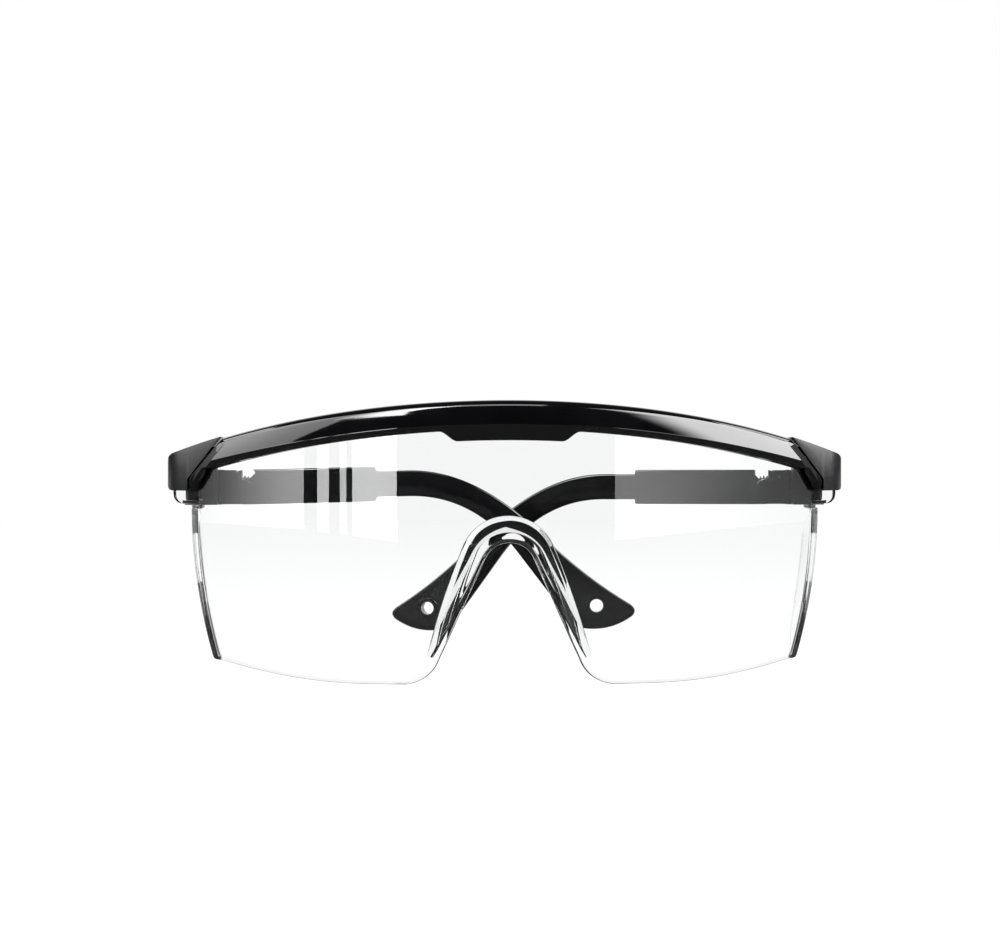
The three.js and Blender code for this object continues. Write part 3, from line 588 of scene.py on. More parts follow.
def half_lens():
    end_angle = math.atan(wrap_slope(LENS_HALF))
    bend_x = LENS_HALF - LENS_BEND * (math.sin(SHIELD_ANGLE) - math.sin(end_angle))
    bend_angle = math.atan(wrap_slope(bend_x))
    centre_x = bend_x - LENS_BEND * math.sin(bend_angle)
    centre_y = wrap_y(bend_x) + LENS_BEND * math.cos(bend_angle)
    low = lens_bottom(bend_x)
    bend = [
        (centre_x + LENS_BEND * math.sin(a), centre_y - LENS_BEND * math.cos(a), a, low, SHIELD_TOP)
        for a in [bend_angle + 0.01, *spread(bend_angle, SHIELD_ANGLE, 14)[1:]]]
    return front_sections(bend_x) + bend + shield_sections(bend[-1][0], bend[-1][1], low)


def lens_ring(x, y, angle, low, high):
    corners = [(0, low), (LENS_WALL, low), (LENS_WALL, high), (0, high)]
    edge = rounded(corners, [LOW_ROUND, LOW_ROUND, EDGE_ROUND, EDGE_ROUND], 5)
    rear = [(LENS_WALL, z) for z in spread(low + LOW_ROUND, high - EDGE_ROUND, 26)[1:-1]]
    front = [(0, z) for _, z in reversed(rear)]
    ring = edge[:12] + rear + edge[12:] + front
    return [
        (tapered(x - behind * math.sin(angle), z), y + behind * math.cos(angle), z)
        for behind, z in ring]


lens_half_sections = half_lens()
other_half = [(-x, y, -angle, low, high) for x, y, angle, low, high in lens_half_sections[1:]]
lens = swept("lens_moulding", [
    lens_ring(*section) for section in [*reversed(other_half), *lens_half_sections]])
report(lens)

# %% [markdown]
# A flange stands behind the opening and rests on the nose. It is swept round the same arch, thicker
# and deeper on top, and flares away from the opening towards its rear edge. The corner ears, which
# the caps hold, carry on along the wrap curve. Both are welded to the shell so that the lens is one
# body with no hidden walls, which clear plastic would show. An ear stays a skin's depth inside the
# shell's faces, because two faces in one plane can't be welded cleanly.

# %% Nose flange and corner ears
FLANGE_DEPTH = 10.0
FLANGE_FOOT_DEPTH = 2.6
FLANGE_WALL = 2.0
FLANGE_WALL_SHARE = 0.8
FLANGE_RISE = 6
FLANGE_ARCH = 11.0
FLANGE_LEG_ANGLE = math.radians(22)
FLANGE_LEG_CONTROL = 13.9
FLANGE_FOOT = Vector((17.9, 6.2))
FLANGE_BURIED = 0.7
FLANGE_SKIN = 0.06
FLANGE_EDGE_ROUND = 0.6
DEPTH_POWER = 2.2
FLARE_POWER = 1.5
SKIN = 0.03
EAR_EDGE_ROUND = 0.3
EAR_ROUND = 2.0
EAR_LOW = TEMPLE_Z - 3.7
EAR_END = CAP_OUTER - 1.2


def flange_rings():
    inner = nose_side(NOSE_TOP, NOSE_ARCH, LEG_ANGLE, LEG_CONTROL, NOSE_FOOT)
    outer = nose_side(
        NOSE_TOP + FLANGE_RISE, FLANGE_ARCH, FLANGE_LEG_ANGLE, FLANGE_LEG_CONTROL, FLANGE_FOOT)
    pairs = list(zip(inner, outer))
    both = [(Vector((-a.x, a.y)), Vector((-b.x, b.y))) for a, b in reversed(pairs[1:])] + pairs
    middle = (len(both) - 1) / 2
    rings = []
    for i, (inside, outside) in enumerate(both):
        part = (abs(i - middle) / middle) ** DEPTH_POWER
        depth = FLANGE_DEPTH + (FLANGE_FOOT_DEPTH - FLANGE_DEPTH) * part
        flare = (outside - inside).length
        wall = min(FLANGE_WALL, FLANGE_WALL_SHARE * flare)
        nose_face = [
            (FLANGE_BURIED + (depth - FLANGE_BURIED) * t,
             FLANGE_SKIN + (flare - wall - FLANGE_SKIN) * t ** FLARE_POWER)
            for t in spread(0, 1, 9)]
        lens_face = [(behind, out + wall) for behind, out in reversed(nose_face)]
        rear = rounded(
            [nose_face[-2], nose_face[-1], lens_face[0], lens_face[1]],
            [0, FLANGE_EDGE_ROUND, FLANGE_EDGE_ROUND, 0], 4)
        section = nose_face[:-1] + rear[1:-1] + lens_face[1:]
        ring = []
        for behind, out in section:
            at = inside.lerp(outside, out / flare)
            ring.append((at.x, wrap_y(inside.x) + behind, at.y))
        rings.append(ring)
    return rings


def ear_rings():
    start = LENS_HALF - 5
    rings = []
    for x in spread(start, EAR_END - EAR_ROUND, 14) + [
            EAR_END - EAR_ROUND * (1 - math.sin(a)) for a in spread(0, math.pi / 2, 8)[1:]]:
        into = max(0, (x - EAR_END + EAR_ROUND) / EAR_ROUND)
        low = EAR_LOW + EAR_ROUND * (1 - math.sqrt(max(0, 1 - into ** 2)))
        high = bar_bottom(x) + LENS_SEAT - 0.05
        corners = [(SKIN, low), (LENS_WALL - SKIN, low), (LENS_WALL - SKIN, high), (SKIN, high)]
        ring = rounded(corners, [EAR_EDGE_ROUND] * 4, 3)
        rings.append([on_wrap(x, behind, z) for behind, z in ring])
    return rings


flange = swept("flange", flange_rings())
ear = swept("ear", ear_rings())
other_ear = flipped(ear, "other_ear")
weld(lens, flange, ear, other_ear)
report(faces_outwards(lens, 0.0005))
smooth(to_frame(lens), 30)

# %% [markdown]
# ## The end caps
# A cap is the brow's continuation round the corner: its face is the region beyond the slanting
# joint, its plan follows the wrap and turns back into a cheek. Extruding both outlines through each
# other and keeping what they share gives that solid directly, as a mould's two slides would. The
# hinge web and its two lugs are welded behind, and the lens, the bar's tongue and the pin get room.

# %% Outlines of a cap
CAP_STEP = 0.4
CAP_ROUND = 3.0
CAP_REAR = 3.2
CHEEK_REACH = 1.5
CHEEK_WALL = 1.7
CAP_CORNER = 1.5
LUG_RADIUS = 2.9
LUG_BURIED = 0.6
TEMPLE_BOTTOM = TEMPLE_Z - 4
LOWER_LUG_TOP = TEMPLE_BOTTOM + 1.2
UPPER_LUG_TOP = TEMPLE_Z + 6.5
UPPER_LUG_BOTTOM = UPPER_LUG_TOP - 3.6


def cap_plan():
    inner, bend = JOINT_TOP - 2, CAP_OUTER - CAP_ROUND
    outline = [(x, wrap_y(x) - BAR_PROUD) for x in spread(inner, bend, 14)]
    corner = Vector((CAP_OUTER, wrap_y(CAP_OUTER) - BAR_PROUD))
    end = Vector((CAP_OUTER, wrap_y(bend) - BAR_PROUD + CAP_ROUND + CAP_CORNER))
    outline += soft_corner(Vector(outline[-1]), corner, end, 12)[1:]
    outline += [(CAP_OUTER, CHEEK_REACH), (CAP_OUTER - CHEEK_WALL, CHEEK_REACH)]
    outline += [(CAP_OUTER - CHEEK_WALL, -CAP_REAR), (inner, -CAP_REAR)]
    return outline


def cap_face():
    def top(x):
        return bar_top(x) + CAP_STEP

    across, up = Vector((CAP_CORNER, 0)), Vector((0, CAP_CORNER))
    outline = [(JOINT_TOP, top(JOINT_TOP)), (JOINT_FOOT, JOINT_FOOT_Z), (JOINT_FOOT, CAP_BOTTOM)]
    low = Vector((CAP_OUTER, CAP_BOTTOM))
    outline += soft_corner(low - across, low, low + up, 6)
    high = Vector((CAP_OUTER, top(CAP_OUTER)))
    last = CAP_OUTER - CAP_CORNER
    outline += soft_corner(high - up, high, Vector((last, top(last))), 6)
    outline += [(x, top(x)) for x in spread(last, JOINT_TOP, 14)[1:-1]]
    return outline


def lug(name, low, high):
    root = -CAP_REAR - LUG_BURIED
    outline = [(AXIS_X - LUG_RADIUS, root), (AXIS_X + LUG_RADIUS, root)]
    return plan_plate(name, outline + arc((AXIS_X, 0), LUG_RADIUS, 0, 180, 32), low, high)


print("cap outlines:", len(cap_plan()), "and", len(cap_face()), "corners")

# %% [markdown]
# The web ties both lugs to the cap's inner wall, and the pin runs through the lugs. Rounding comes
# before the cuts, so that the rooms for the lens and the tongue keep crisp edges.

# %% Solid, lugs and rooms of a cap
CAP_EDGE_ROUND = 0.55
WEB_INNER = 5
WEB_OUTER = 1.8
WEB_BURIED = 3.2
PIN_HOLE_RADIUS = 1.15
LENS_ROOM_FOOT = 34


def lens_room(name):
    return swept(name, [
        [on_wrap(x, behind, z) for behind, z in (
            (-SLOT_GAP, LENS_ROOM_FOOT), (LENS_WALL + SLOT_GAP, LENS_ROOM_FOOT),
            (LENS_WALL + SLOT_GAP, bar_bottom(x) + LENS_SEAT + SLOT_GAP),
            (-SLOT_GAP, bar_bottom(x) + LENS_SEAT + SLOT_GAP))]
        for x in spread(JOINT_TOP - 6, EAR_END + SLOT_GAP, 24)])


def end_cap():
    cap = front_plate("cap", cap_face(), wrap_y(0), CHEEK_REACH + 1)
    combine(cap, "INTERSECT", plan_plate("plan", cap_plan(), CAP_BOTTOM - 2, BAR_TOP))
    ease_edges(cap, CAP_EDGE_ROUND, 4, 40)
    web = box(
        "web", (AXIS_X - WEB_INNER, AXIS_X - WEB_OUTER), (-CAP_REAR - WEB_BURIED, SKIN - CAP_REAR),
        (TEMPLE_BOTTOM + SKIN, UPPER_LUG_TOP - SKIN))
    lower = lug("lower", TEMPLE_BOTTOM, LOWER_LUG_TOP)
    upper = lug("upper", UPPER_LUG_BOTTOM, UPPER_LUG_TOP)
    weld(cap, web, lower, upper)
    hole = bar(
        "hole", PIN_HOLE_RADIUS, (AXIS_X, 0, TEMPLE_BOTTOM - 1), (AXIS_X, 0, UPPER_LUG_TOP - 0.5))
    cut(cap, lens_room("room"), tongue_body("pocket", SLOT_GAP), hole)
    return faces_outwards(cap, 0.001)


left_cap = named(end_cap(), "left_cap_cover")
report(left_cap)
right_cap = flipped(left_cap, "right_cap_cover")
for cap in (left_cap, right_cap):
    smooth(to_frame(cap))

# %% [markdown]
# ## The hinge pins
# A pin is a turned part: a shaft with a domed head under the lower lug and a small chamfer at its
# top. Spinning a half outline gives the dome and the small edges in one step. It stands upright on
# the fold axis.

# %% Hinge pins
PIN_RADIUS = 1.0
PIN_TIP_RADIUS = 0.8
PIN_HEAD_RADIUS = 1.7
PIN_HEAD_LOW = TEMPLE_BOTTOM - 0.9
PIN_HEAD_GAP = 0.1
PIN_DOME = 0.45
pin_profile = [
    (PIN_HEAD_RADIUS * math.cos(a), PIN_HEAD_LOW + PIN_DOME - PIN_DOME * math.sin(a))
    for a in spread(math.pi / 2, 0, 6)]
pin_profile += [
    (PIN_HEAD_RADIUS, TEMPLE_BOTTOM - PIN_HEAD_GAP), (PIN_RADIUS, TEMPLE_BOTTOM - PIN_HEAD_GAP),
    (PIN_RADIUS, UPPER_LUG_TOP - 1.0), (PIN_TIP_RADIUS, UPPER_LUG_TOP - 0.8),
    (0, UPPER_LUG_TOP - 0.8)]
left_pin = turned("left_pin_turned", pin_profile)
only(left_pin)
bpy.ops.transform.translate(value=(AXIS_X, 0, 0))
apply_place()
right_pin = flipped(left_pin, "right_pin_turned")
for pin in (left_pin, right_pin):
    report(pin)
    smooth(to_frame(pin), 40)

# %% [markdown]
# ## The temples' own frame
# Each temple is drawn along u from its fold axis, with v running from its inner face to its outer
# face and w upwards, and then set into the frame where the CAD joints put it. The link folds only;
# the sleeve and ear piece also carry the tilt of the ratchet.

# %% Placing a temple piece
PIVOT_U = 10.5
TEMPLE_HALF = 4.0
TEMPLE_WALL = 5.2


def temple_places(side):
    fold = Vector(joints[side + "_fold"]["pos_m"])
    pivot = Vector(joints[side + "_tilt"]["pos_m"])
    along = Vector(joints[side + "_slide"]["axis"]).normalized()
    outward = Vector(joints[side + "_tilt"]["axis"]).normalized()
    if outward.y < 0:
        outward.negate()
    centre = pivot - outward * TEMPLE_WALL / 2 * MM
    flat = Vector((centre.x - fold.x, centre.y - fold.y, 0)).normalized()
    up = Vector((0, 0, 1))
    tilted_up = (up - along * along.dot(up)).normalized()
    return (
        (fold, flat, outward, up),
        (centre - along * PIVOT_U * MM, along, outward, tilted_up))


def set_in(obj, place):
    origin, u, v, w = place
    only(obj)
    obj.matrix_world = Matrix((
        (u.x * MM, v.x * MM, w.x * MM, origin.x), (u.y * MM, v.y * MM, w.y * MM, origin.y),
        (u.z * MM, v.z * MM, w.z * MM, origin.z), (0, 0, 0, 1)))
    apply_place()
    return faces_outwards(obj, 0.0000001)


places = {side: temple_places(side) for side in ("right", "left")}
for side, (link_place, sleeve_place) in places.items():
    print(side, "tilt kept, degrees:", round(math.degrees(math.asin(sleeve_place[1].z)), 2))

# %% [markdown]
# ## The hinge link
# A barrel on the pin, a short body and a thin disc whose top edge has three ratchet teeth in a
# window. The disc's outline is drawn tooth by tooth and extruded, and the barrel and body are
# welded to it.

# %% Link
DISC_FACE = 2.3
DISC_RADIUS = TEMPLE_HALF - 0.1
DISC_ROOT = 5.6
NOTCH_START, NOTCH_END = 52, 118
TEETH_START, TEETH_END = 58, 112
TOOTH_TIP, TOOTH_ROOT = 2.7, 1.9
TOOTH_HALF = 0.8
LINK_BODY = (3.3, 6.0)
BARREL_RADIUS = 2.6
BARREL_GAP = 0.3
BARREL_WEB = (0.02, 2.58)
PIN_ROOM_RADIUS = 1.2
RIVET_ROOM_RADIUS = 1.25


def ratchet_outline():
    pivot = (PIVOT_U, 0)
    outline = [(PIVOT_U - DISC_ROOT, -DISC_RADIUS)]
    outline += arc(pivot, DISC_RADIUS, -90, NOTCH_START, 40)
    for step, angle in enumerate(spread(TEETH_START, TEETH_END, 6)):
        reach = TOOTH_TIP if step % 2 else TOOTH_ROOT
        outline += arc(pivot, reach, angle - TOOTH_HALF, angle + TOOTH_HALF, 1)
    outline += [(PIVOT_U + DISC_RADIUS * math.cos(math.radians(NOTCH_END)), DISC_RADIUS)]
    return outline + [(PIVOT_U - DISC_ROOT, DISC_RADIUS)]


def hinge_link(name):
    low = LOWER_LUG_TOP + BARREL_GAP - TEMPLE_Z
    high = UPPER_LUG_BOTTOM - BARREL_GAP - TEMPLE_Z
    body = box(name, LINK_BODY, (0, TEMPLE_WALL), (-TEMPLE_HALF, TEMPLE_HALF))
    ease_edges(body, 0.45, 4, 40)
    barrel = bar("barrel", BARREL_RADIUS, (0, 0, low), (0, 0, high), 72)
    ease_edges(barrel, 0.3, 3, 40)
    web = box("web", (0, LINK_BODY[0] + 1), BARREL_WEB, (low + 0.02, high - 0.02))
    disc = front_plate("disc", ratchet_outline(), SKIN, DISC_FACE)
    ease_edges(disc, 0.12, 2, 60)
    weld(body, barrel, web, disc)
    pin_room = bar("pin_room", PIN_ROOM_RADIUS, (0, 0, -6), (0, 0, 6))
    rivet_room = bar("rivet_room", RIVET_ROOM_RADIUS, (PIVOT_U, -1, 0), (PIVOT_U, 7, 0))
    return faces_outwards(cut(body, pin_room, rivet_room), 0.0005)


links = {}
for side in ("right", "left"):
    links[side] = report(hinge_link(side + "_link_moulding"))
    smooth(set_in(links[side], places[side][0]), 35)

# %% [markdown]
# ## The rivets
# A rivet is turned like the pin, but has a domed head at both ends. It lies through the ratchet's
# disc and the sleeve, and the temple tilts on it.

# %% Rivets
RIVET_RADIUS = 1.1
RIVET_HEAD_RADIUS = 1.9
RIVET_DOME = 0.3
RIVET_INNER = (-0.4, -0.1)
RIVET_OUTER = (5.3, 5.6)


def rivet_profile():
    """From the crown of the inner head, along the shaft, to the crown of the outer one."""
    lower = [
        (RIVET_HEAD_RADIUS * math.cos(a), RIVET_INNER[0] - RIVET_DOME * math.sin(a))
        for a in spread(math.pi / 2, 0, 6)]
    upper = [
        (RIVET_HEAD_RADIUS * math.cos(a), RIVET_OUTER[1] + RIVET_DOME * math.sin(a))
        for a in spread(0, math.pi / 2, 6)]
    shaft = [
        (RIVET_HEAD_RADIUS, RIVET_INNER[1]), (RIVET_RADIUS, RIVET_INNER[1]),
        (RIVET_RADIUS, RIVET_OUTER[0]), (RIVET_HEAD_RADIUS, RIVET_OUTER[0])]
    return [(0, -0.7)] + lower[1:] + shaft + upper[:-1] + [(0, 5.9)]


rivets = {}
for side in ("right", "left"):
    rivet = turned(side + "_rivet_turned", rivet_profile(), 56)
    only(rivet)
    rivet.rotation_euler.x = -math.pi / 2
    rivet.location.x = PIVOT_U
    apply_place()
    rivets[side] = report(rivet)
    smooth(set_in(rivet, places[side][0]), 40)

# %% [markdown]
# ## The sleeve
# A flat sleeve with a round front end over the ratchet. The disc's room, the cavity in which the
# ear piece slides, the window over the teeth and the slot for the nib are cut from it after its
# outer edges are rounded, so that the cuts stay crisp.

# %% Sleeve
SLEEVE_END = 40.5
CAVITY_START = PIVOT_U + TEMPLE_HALF + 1.7
CAVITY_TOP = 3.2
CAVITY_HALF = 1.65
DISC_ROOM_GAP = 0.35
WINDOW = (-0.7, 2.3)
WINDOW_DEPTH = 2
NIB_SLOT_HALF = 0.9
SLEEVE_RIVET_RADIUS = 1.4


def sleeve_outline():
    corner = 0.6
    low = Vector((SLEEVE_END, -TEMPLE_HALF))
    high = Vector((SLEEVE_END, TEMPLE_HALF))
    along, up = Vector((corner, 0)), Vector((0, corner))
    outline = soft_corner(low - along, low, low + up, 4)
    outline += soft_corner(high - up, high, high - along, 4)
    return outline + arc((PIVOT_U, 0), TEMPLE_HALF, 90, 270, 36)


def temple_sleeve(name):
    sleeve = front_plate(name, sleeve_outline(), 0, TEMPLE_WALL)
    ease_edges(sleeve, 0.5, 4, 50)
    middle, beyond = TEMPLE_WALL / 2, TEMPLE_WALL + 1
    cut(
        sleeve,
        bar("disc_room", TEMPLE_HALF + DISC_ROOM_GAP,
            (PIVOT_U, -1, 0), (PIVOT_U, DISC_FACE + 0.3, 0), 72),
        box("cavity", (CAVITY_START, SLEEVE_END + 1),
            (middle - CAVITY_HALF, middle + CAVITY_HALF), (-CAVITY_TOP, CAVITY_TOP)),
        box("window", (PIVOT_U + WINDOW[0], PIVOT_U + WINDOW[1]),
            (-1, beyond), (TEMPLE_HALF - WINDOW_DEPTH, TEMPLE_HALF + 1)),
        box("nib_slot", (CAVITY_START + 4.6, SLEEVE_END - 3.3),
            (middle, beyond), (-NIB_SLOT_HALF, NIB_SLOT_HALF)),
        bar("rivet_room", SLEEVE_RIVET_RADIUS, (PIVOT_U, -1, 0), (PIVOT_U, beyond, 0)))
    faces_outwards(sleeve, 0.0005)
    return ease_edges(sleeve, 0.1, 2, 55)


sleeves = {}
for side in ("right", "left"):
    sleeves[side] = report(temple_sleeve(side + "_sleeve_moulding"))
    smooth(set_in(sleeves[side], places[side][1]), 35)

# %% [markdown]
# ## The ear piece
# One flat moulding: a straight shank in the sleeve, a long bend and a broad hook with a hole for a
# neck cord. Its outline is a chain of lines and soft curves. The rim round the hole is a separate
# bar welded on before the hole is bored, so both faces get the same raised ring.

# %% Ear piece
EAR_NEAR, EAR_FAR = 1.2, 4.0
EAR_REACH, EAR_DROP = 98.8, 33.9
SHANK_HALF = 2.95
SHANK_START = SLEEVE_END - 23.5
BEND_U = SHANK_START + 31
HOLE_U, HOLE_W = EAR_REACH - 8.8, -EAR_DROP + 5
HOLE_RADIUS = 1.5
RIM_RADIUS = 2.5
RIM_RISE = 0.25
NIB = (21.5, 23.1)
NIB_HALF = 0.6


def ear_outline():
    start = Vector((BEND_U, -SHANK_HALF))
    points = [Vector((SHANK_START, -SHANK_HALF)), start]
    chain = [
        ((BEND_U + 14.5, -SHANK_HALF), (BEND_U + 24.5, -16.5), 28),
        ((EAR_REACH - 20.4, -24.65), (EAR_REACH - 14.4, 1.1 - EAR_DROP), 4),
        ((EAR_REACH - 13.7, -EAR_DROP), (EAR_REACH - 12.6, -EAR_DROP), 6),
        ((EAR_REACH - 6.1, -EAR_DROP - 1.3), (EAR_REACH - 0.8, 2.4 - EAR_DROP), 14),
        ((EAR_REACH + 0.7, 3.8 - EAR_DROP), (EAR_REACH - 1.2, 5.2 - EAR_DROP), 8),
        ((EAR_REACH - 13, 12.7 - EAR_DROP), (BEND_U + 28, -10.4), 24),
        ((BEND_U + 14, SHANK_HALF), (BEND_U, SHANK_HALF), 28)]
    for control, end, steps in chain:
        points += curve_points(points[-1], Vector(control), Vector(end), steps)[1:]
    return [tuple(point) for point in points] + [(SHANK_START, SHANK_HALF)]


def ear_piece(name):
    piece = front_plate(name, ear_outline(), EAR_NEAR, EAR_FAR)
    ease_edges(piece, 0.55, 5, 60)
    rim = bar(
        "rim", RIM_RADIUS,
        (HOLE_U, EAR_NEAR - RIM_RISE, HOLE_W), (HOLE_U, EAR_FAR + RIM_RISE, HOLE_W), 64)
    ease_edges(rim, 0.2, 3, 60)
    nib = box("nib", NIB, (EAR_FAR - 0.5, TEMPLE_WALL - 0.2), (-NIB_HALF, NIB_HALF))
    ease_edges(nib, 0.2, 2, 60)
    weld(piece, rim, nib)
    cut(piece, bar("hole", HOLE_RADIUS, (HOLE_U, -1, HOLE_W), (HOLE_U, 7, HOLE_W), 64))
    return faces_outwards(piece, 0.0005)


ears = {}
for side in ("right", "left"):
    ears[side] = report(ear_piece(side + "_ear_moulding"))
    smooth(set_in(ears[side], places[side][1]), 35)

# %% [markdown]
# ## Finishes
# Every finish is a small node tree on a Principled shader that reads Object coordinates, so the
# pattern keeps its real size. Polished mouldings are never quite flat: a very slow bump bends their
# reflections, and a fine one gives satin parts their grain.

# %% Helpers for finishes
PLASTIC_IOR = 1.5


def node(tree, kind, **inputs):
    made = tree.nodes.new(kind)
    for key, value in inputs.items():
        made.inputs[key].default_value = value
    return made


def noise(tree, scale, detail=2.0, roughness=0.5):
    coords = tree.nodes.new("ShaderNodeTexCoord")
    made = node(tree, "ShaderNodeTexNoise", Scale=scale, Detail=detail, Roughness=roughness)
    tree.links.new(coords.outputs["Object"], made.inputs["Vector"])
    return made.outputs["Fac"]


def ramp(tree, source, start, end, low, high, shape="SMOOTHSTEP"):
    made = tree.nodes.new("ShaderNodeMapRange")
    made.interpolation_type = shape
    for key, value in (("From Min", start), ("From Max", end), ("To Min", low), ("To Max", high)):
        made.inputs[key].default_value = value
    tree.links.new(source, made.inputs["Value"])
    return made.outputs["Result"]


def spread_values(tree, source, low, high):
    return ramp(tree, source, 0.3, 0.7, low, high, "LINEAR")


def two_tones(tree, source, dark, light):
    tones = tree.nodes.new("ShaderNodeValToRGB")
    for stop, tone, position in zip(tones.color_ramp.elements, (dark, light), (0.35, 0.65)):
        stop.color = (*tone, 1)
        stop.position = position
    tree.links.new(source, tones.inputs["Fac"])
    return tones.outputs["Color"]


def bump(tree, source, strength, distance, normal=None):
    made = node(tree, "ShaderNodeBump", Strength=strength, Distance=distance)
    tree.links.new(source, made.inputs["Height"])
    if normal is not None:
        tree.links.new(normal, made.inputs["Normal"])
    return made.outputs["Normal"]


def new_finish(name):
    material = bpy.data.materials.new(name)
    material.use_nodes = True
    tree = material.node_tree
    return material, tree, tree.nodes["Principled BSDF"]


def black_plastic(name, dark, light, rough, grain_scale, grain_depth, wave_depth):
    material, tree, shader = new_finish(name)
    tree.links.new(two_tones(tree, noise(tree, 90, 3), dark, light), shader.inputs["Base Color"])
    tree.links.new(
        spread_values(tree, noise(tree, 260, 4, 0.6), *rough), shader.inputs["Roughness"])
    wave = bump(tree, noise(tree, 42, 0), 1.0, wave_depth)
    fine = bump(tree, noise(tree, grain_scale, 2), 1.0, grain_depth, wave)
    tree.links.new(fine, shader.inputs["Normal"])
    shader.inputs["IOR"].default_value = PLASTIC_IOR
    return material


brow_finish = black_plastic(
    "polished_black", (0.0008, 0.0008, 0.001), (0.0016, 0.0016, 0.002), (0.04, 0.08),
    2600, 0.000001, 0.0001)
cap_finish = black_plastic(
    "satin_black", (0.002, 0.002, 0.003), (0.004, 0.004, 0.005), (0.26, 0.36),
    5200, 0.000006, 0.0001)
temple_finish = black_plastic(
    "glossy_temple_black", (0.0008, 0.0008, 0.001), (0.0018, 0.0018, 0.0022), (0.06, 0.12),
    2600, 0.000001, 0.0002)
print("black finishes:", brow_finish.name, cap_finish.name, temple_finish.name)

# %% [markdown]
# The pins are bare turned steel. The lens is clear and lets shadow rays pass straight on, because
# lamp light bent through a solid wall takes very long to gather.

# %% Steel and clear plastic
steel_finish, steel_tree, steel_shader = new_finish("turned_steel")
steel_tree.links.new(
    two_tones(steel_tree, noise(steel_tree, 900, 3), (0.42, 0.42, 0.43), (0.55, 0.55, 0.56)),
    steel_shader.inputs["Base Color"])
steel_tree.links.new(
    spread_values(steel_tree, noise(steel_tree, 1500, 3), 0.22, 0.36),
    steel_shader.inputs["Roughness"])
steel_shader.inputs["Metallic"].default_value = 1.0


def clear_plastic(name):
    material, tree, shader = new_finish(name)
    shader.inputs["Base Color"].default_value = (0.985, 0.992, 0.99, 1)
    shader.inputs["Transmission Weight"].default_value = 1.0
    shader.inputs["IOR"].default_value = PLASTIC_IOR
    tree.links.new(
        spread_values(tree, noise(tree, 60, 3), 0.0, 0.025), shader.inputs["Roughness"])
    lamp_ray = tree.nodes.new("ShaderNodeLightPath")
    clear = tree.nodes.new("ShaderNodeBsdfTransparent")
    clear.inputs["Color"].default_value = (0.94, 0.95, 0.95, 1)
    mix = tree.nodes.new("ShaderNodeMixShader")
    tree.links.new(lamp_ray.outputs["Is Shadow Ray"], mix.inputs[0])
    tree.links.new(shader.outputs[0], mix.inputs[1])
    tree.links.new(clear.outputs[0], mix.inputs[2])
    tree.links.new(mix.outputs[0], tree.nodes["Material Output"].inputs["Surface"])
    return material


lens_finish = clear_plastic("clear_polycarbonate")
print("other finishes:", steel_finish.name, lens_finish.name)

# %% [markdown]
# ## Fitting the pieces to the bodies
# Every piece rides on the body that carries it, stands in for its CAD node, which is hidden, and
# takes the finish it is moulded in.

# %% Bodies, nodes and slots


def fit(piece, body, cad_node, finish):
    piece.data.materials.clear()
    piece.data.materials.append(finish)
    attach(piece, body)
    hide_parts(cad_node)


fit(brow_bar, "front", "brow_bar", brow_finish)
fit(lens, "front", "lens", lens_finish)
fit(left_cap, "front", "left_end_cap", cap_finish)
fit(right_cap, "front", "right_end_cap", cap_finish)
fit(left_pin, "front", "left_hinge_pin", steel_finish)
fit(right_pin, "front", "right_hinge_pin", steel_finish)
for side in ("right", "left"):
    fit(links[side], side + "_link", side + "_hinge_link", temple_finish)
    fit(rivets[side], side + "_link", side + "_ratchet_rivet", temple_finish)
    fit(sleeves[side], side + "_sleeve", side + "_temple_sleeve", temple_finish)
    fit(ears[side], side + "_ear", side + "_ear_piece", temple_finish)

# %% [markdown]
# ## Stage, light and camera
# Clear plastic shows by what it bends and mirrors, and black plastic by what it mirrors alone. So
# the floor is a pale sheet that glows a little, like a light table, and the eye meets a pale room
# behind, while mirrored rays meet a dark room in which only the soft lamps are bright. The sheet
# lies a little below the glasses, to leave room for the hooks when a temple is tilted down.

# %% What the eye meets and what a mirror meets
FLOOR_LEVEL = -0.014
FLOOR_BEHIND = (0.05, 0.3)


def math_step(tree, operation, first, second):
    step = tree.nodes.new("ShaderNodeMath")
    step.operation = operation
    for socket, value in zip(step.inputs, (first, second)):
        if isinstance(value, (int, float)):
            socket.default_value = value
        else:
            tree.links.new(value, socket)
    return step.outputs[0]


def first_look(tree):
    """1 for a ray that has only passed through clear plastic, 0 after any reflection."""
    rays = tree.nodes.new("ShaderNodeLightPath")
    bounces = math_step(tree, "ADD", rays.outputs["Glossy Depth"], rays.outputs["Diffuse Depth"])
    return math_step(tree, "LESS_THAN", bounces, 0.5)


def share_of(tree, vector, axis):
    parts = tree.nodes.new("ShaderNodeSeparateXYZ")
    tree.links.new(vector, parts.inputs[0])
    return parts.outputs[axis]


def glowing_sheet(name, tone, eye, mirror):
    material, tree, shader = new_finish(name)
    tree.links.new(
        two_tones(tree, noise(tree, 6, 2), (tone * 0.98,) * 3, (tone,) * 3),
        shader.inputs["Base Color"])
    shader.inputs["Roughness"].default_value = 0.9
    shader.inputs["Specular IOR Level"].default_value = 0.0
    shader.inputs["Emission Color"].default_value = (1, 1, 1, 1)
    place = tree.nodes.new("ShaderNodeTexCoord").outputs["Object"]
    behind = ramp(tree, share_of(tree, place, "Y"), *FLOOR_BEHIND, 0, 1)
    lit = math_step(tree, "MAXIMUM", first_look(tree), behind)
    tree.links.new(ramp(tree, lit, 0, 1, mirror, eye), shader.inputs["Emission Strength"])
    return material


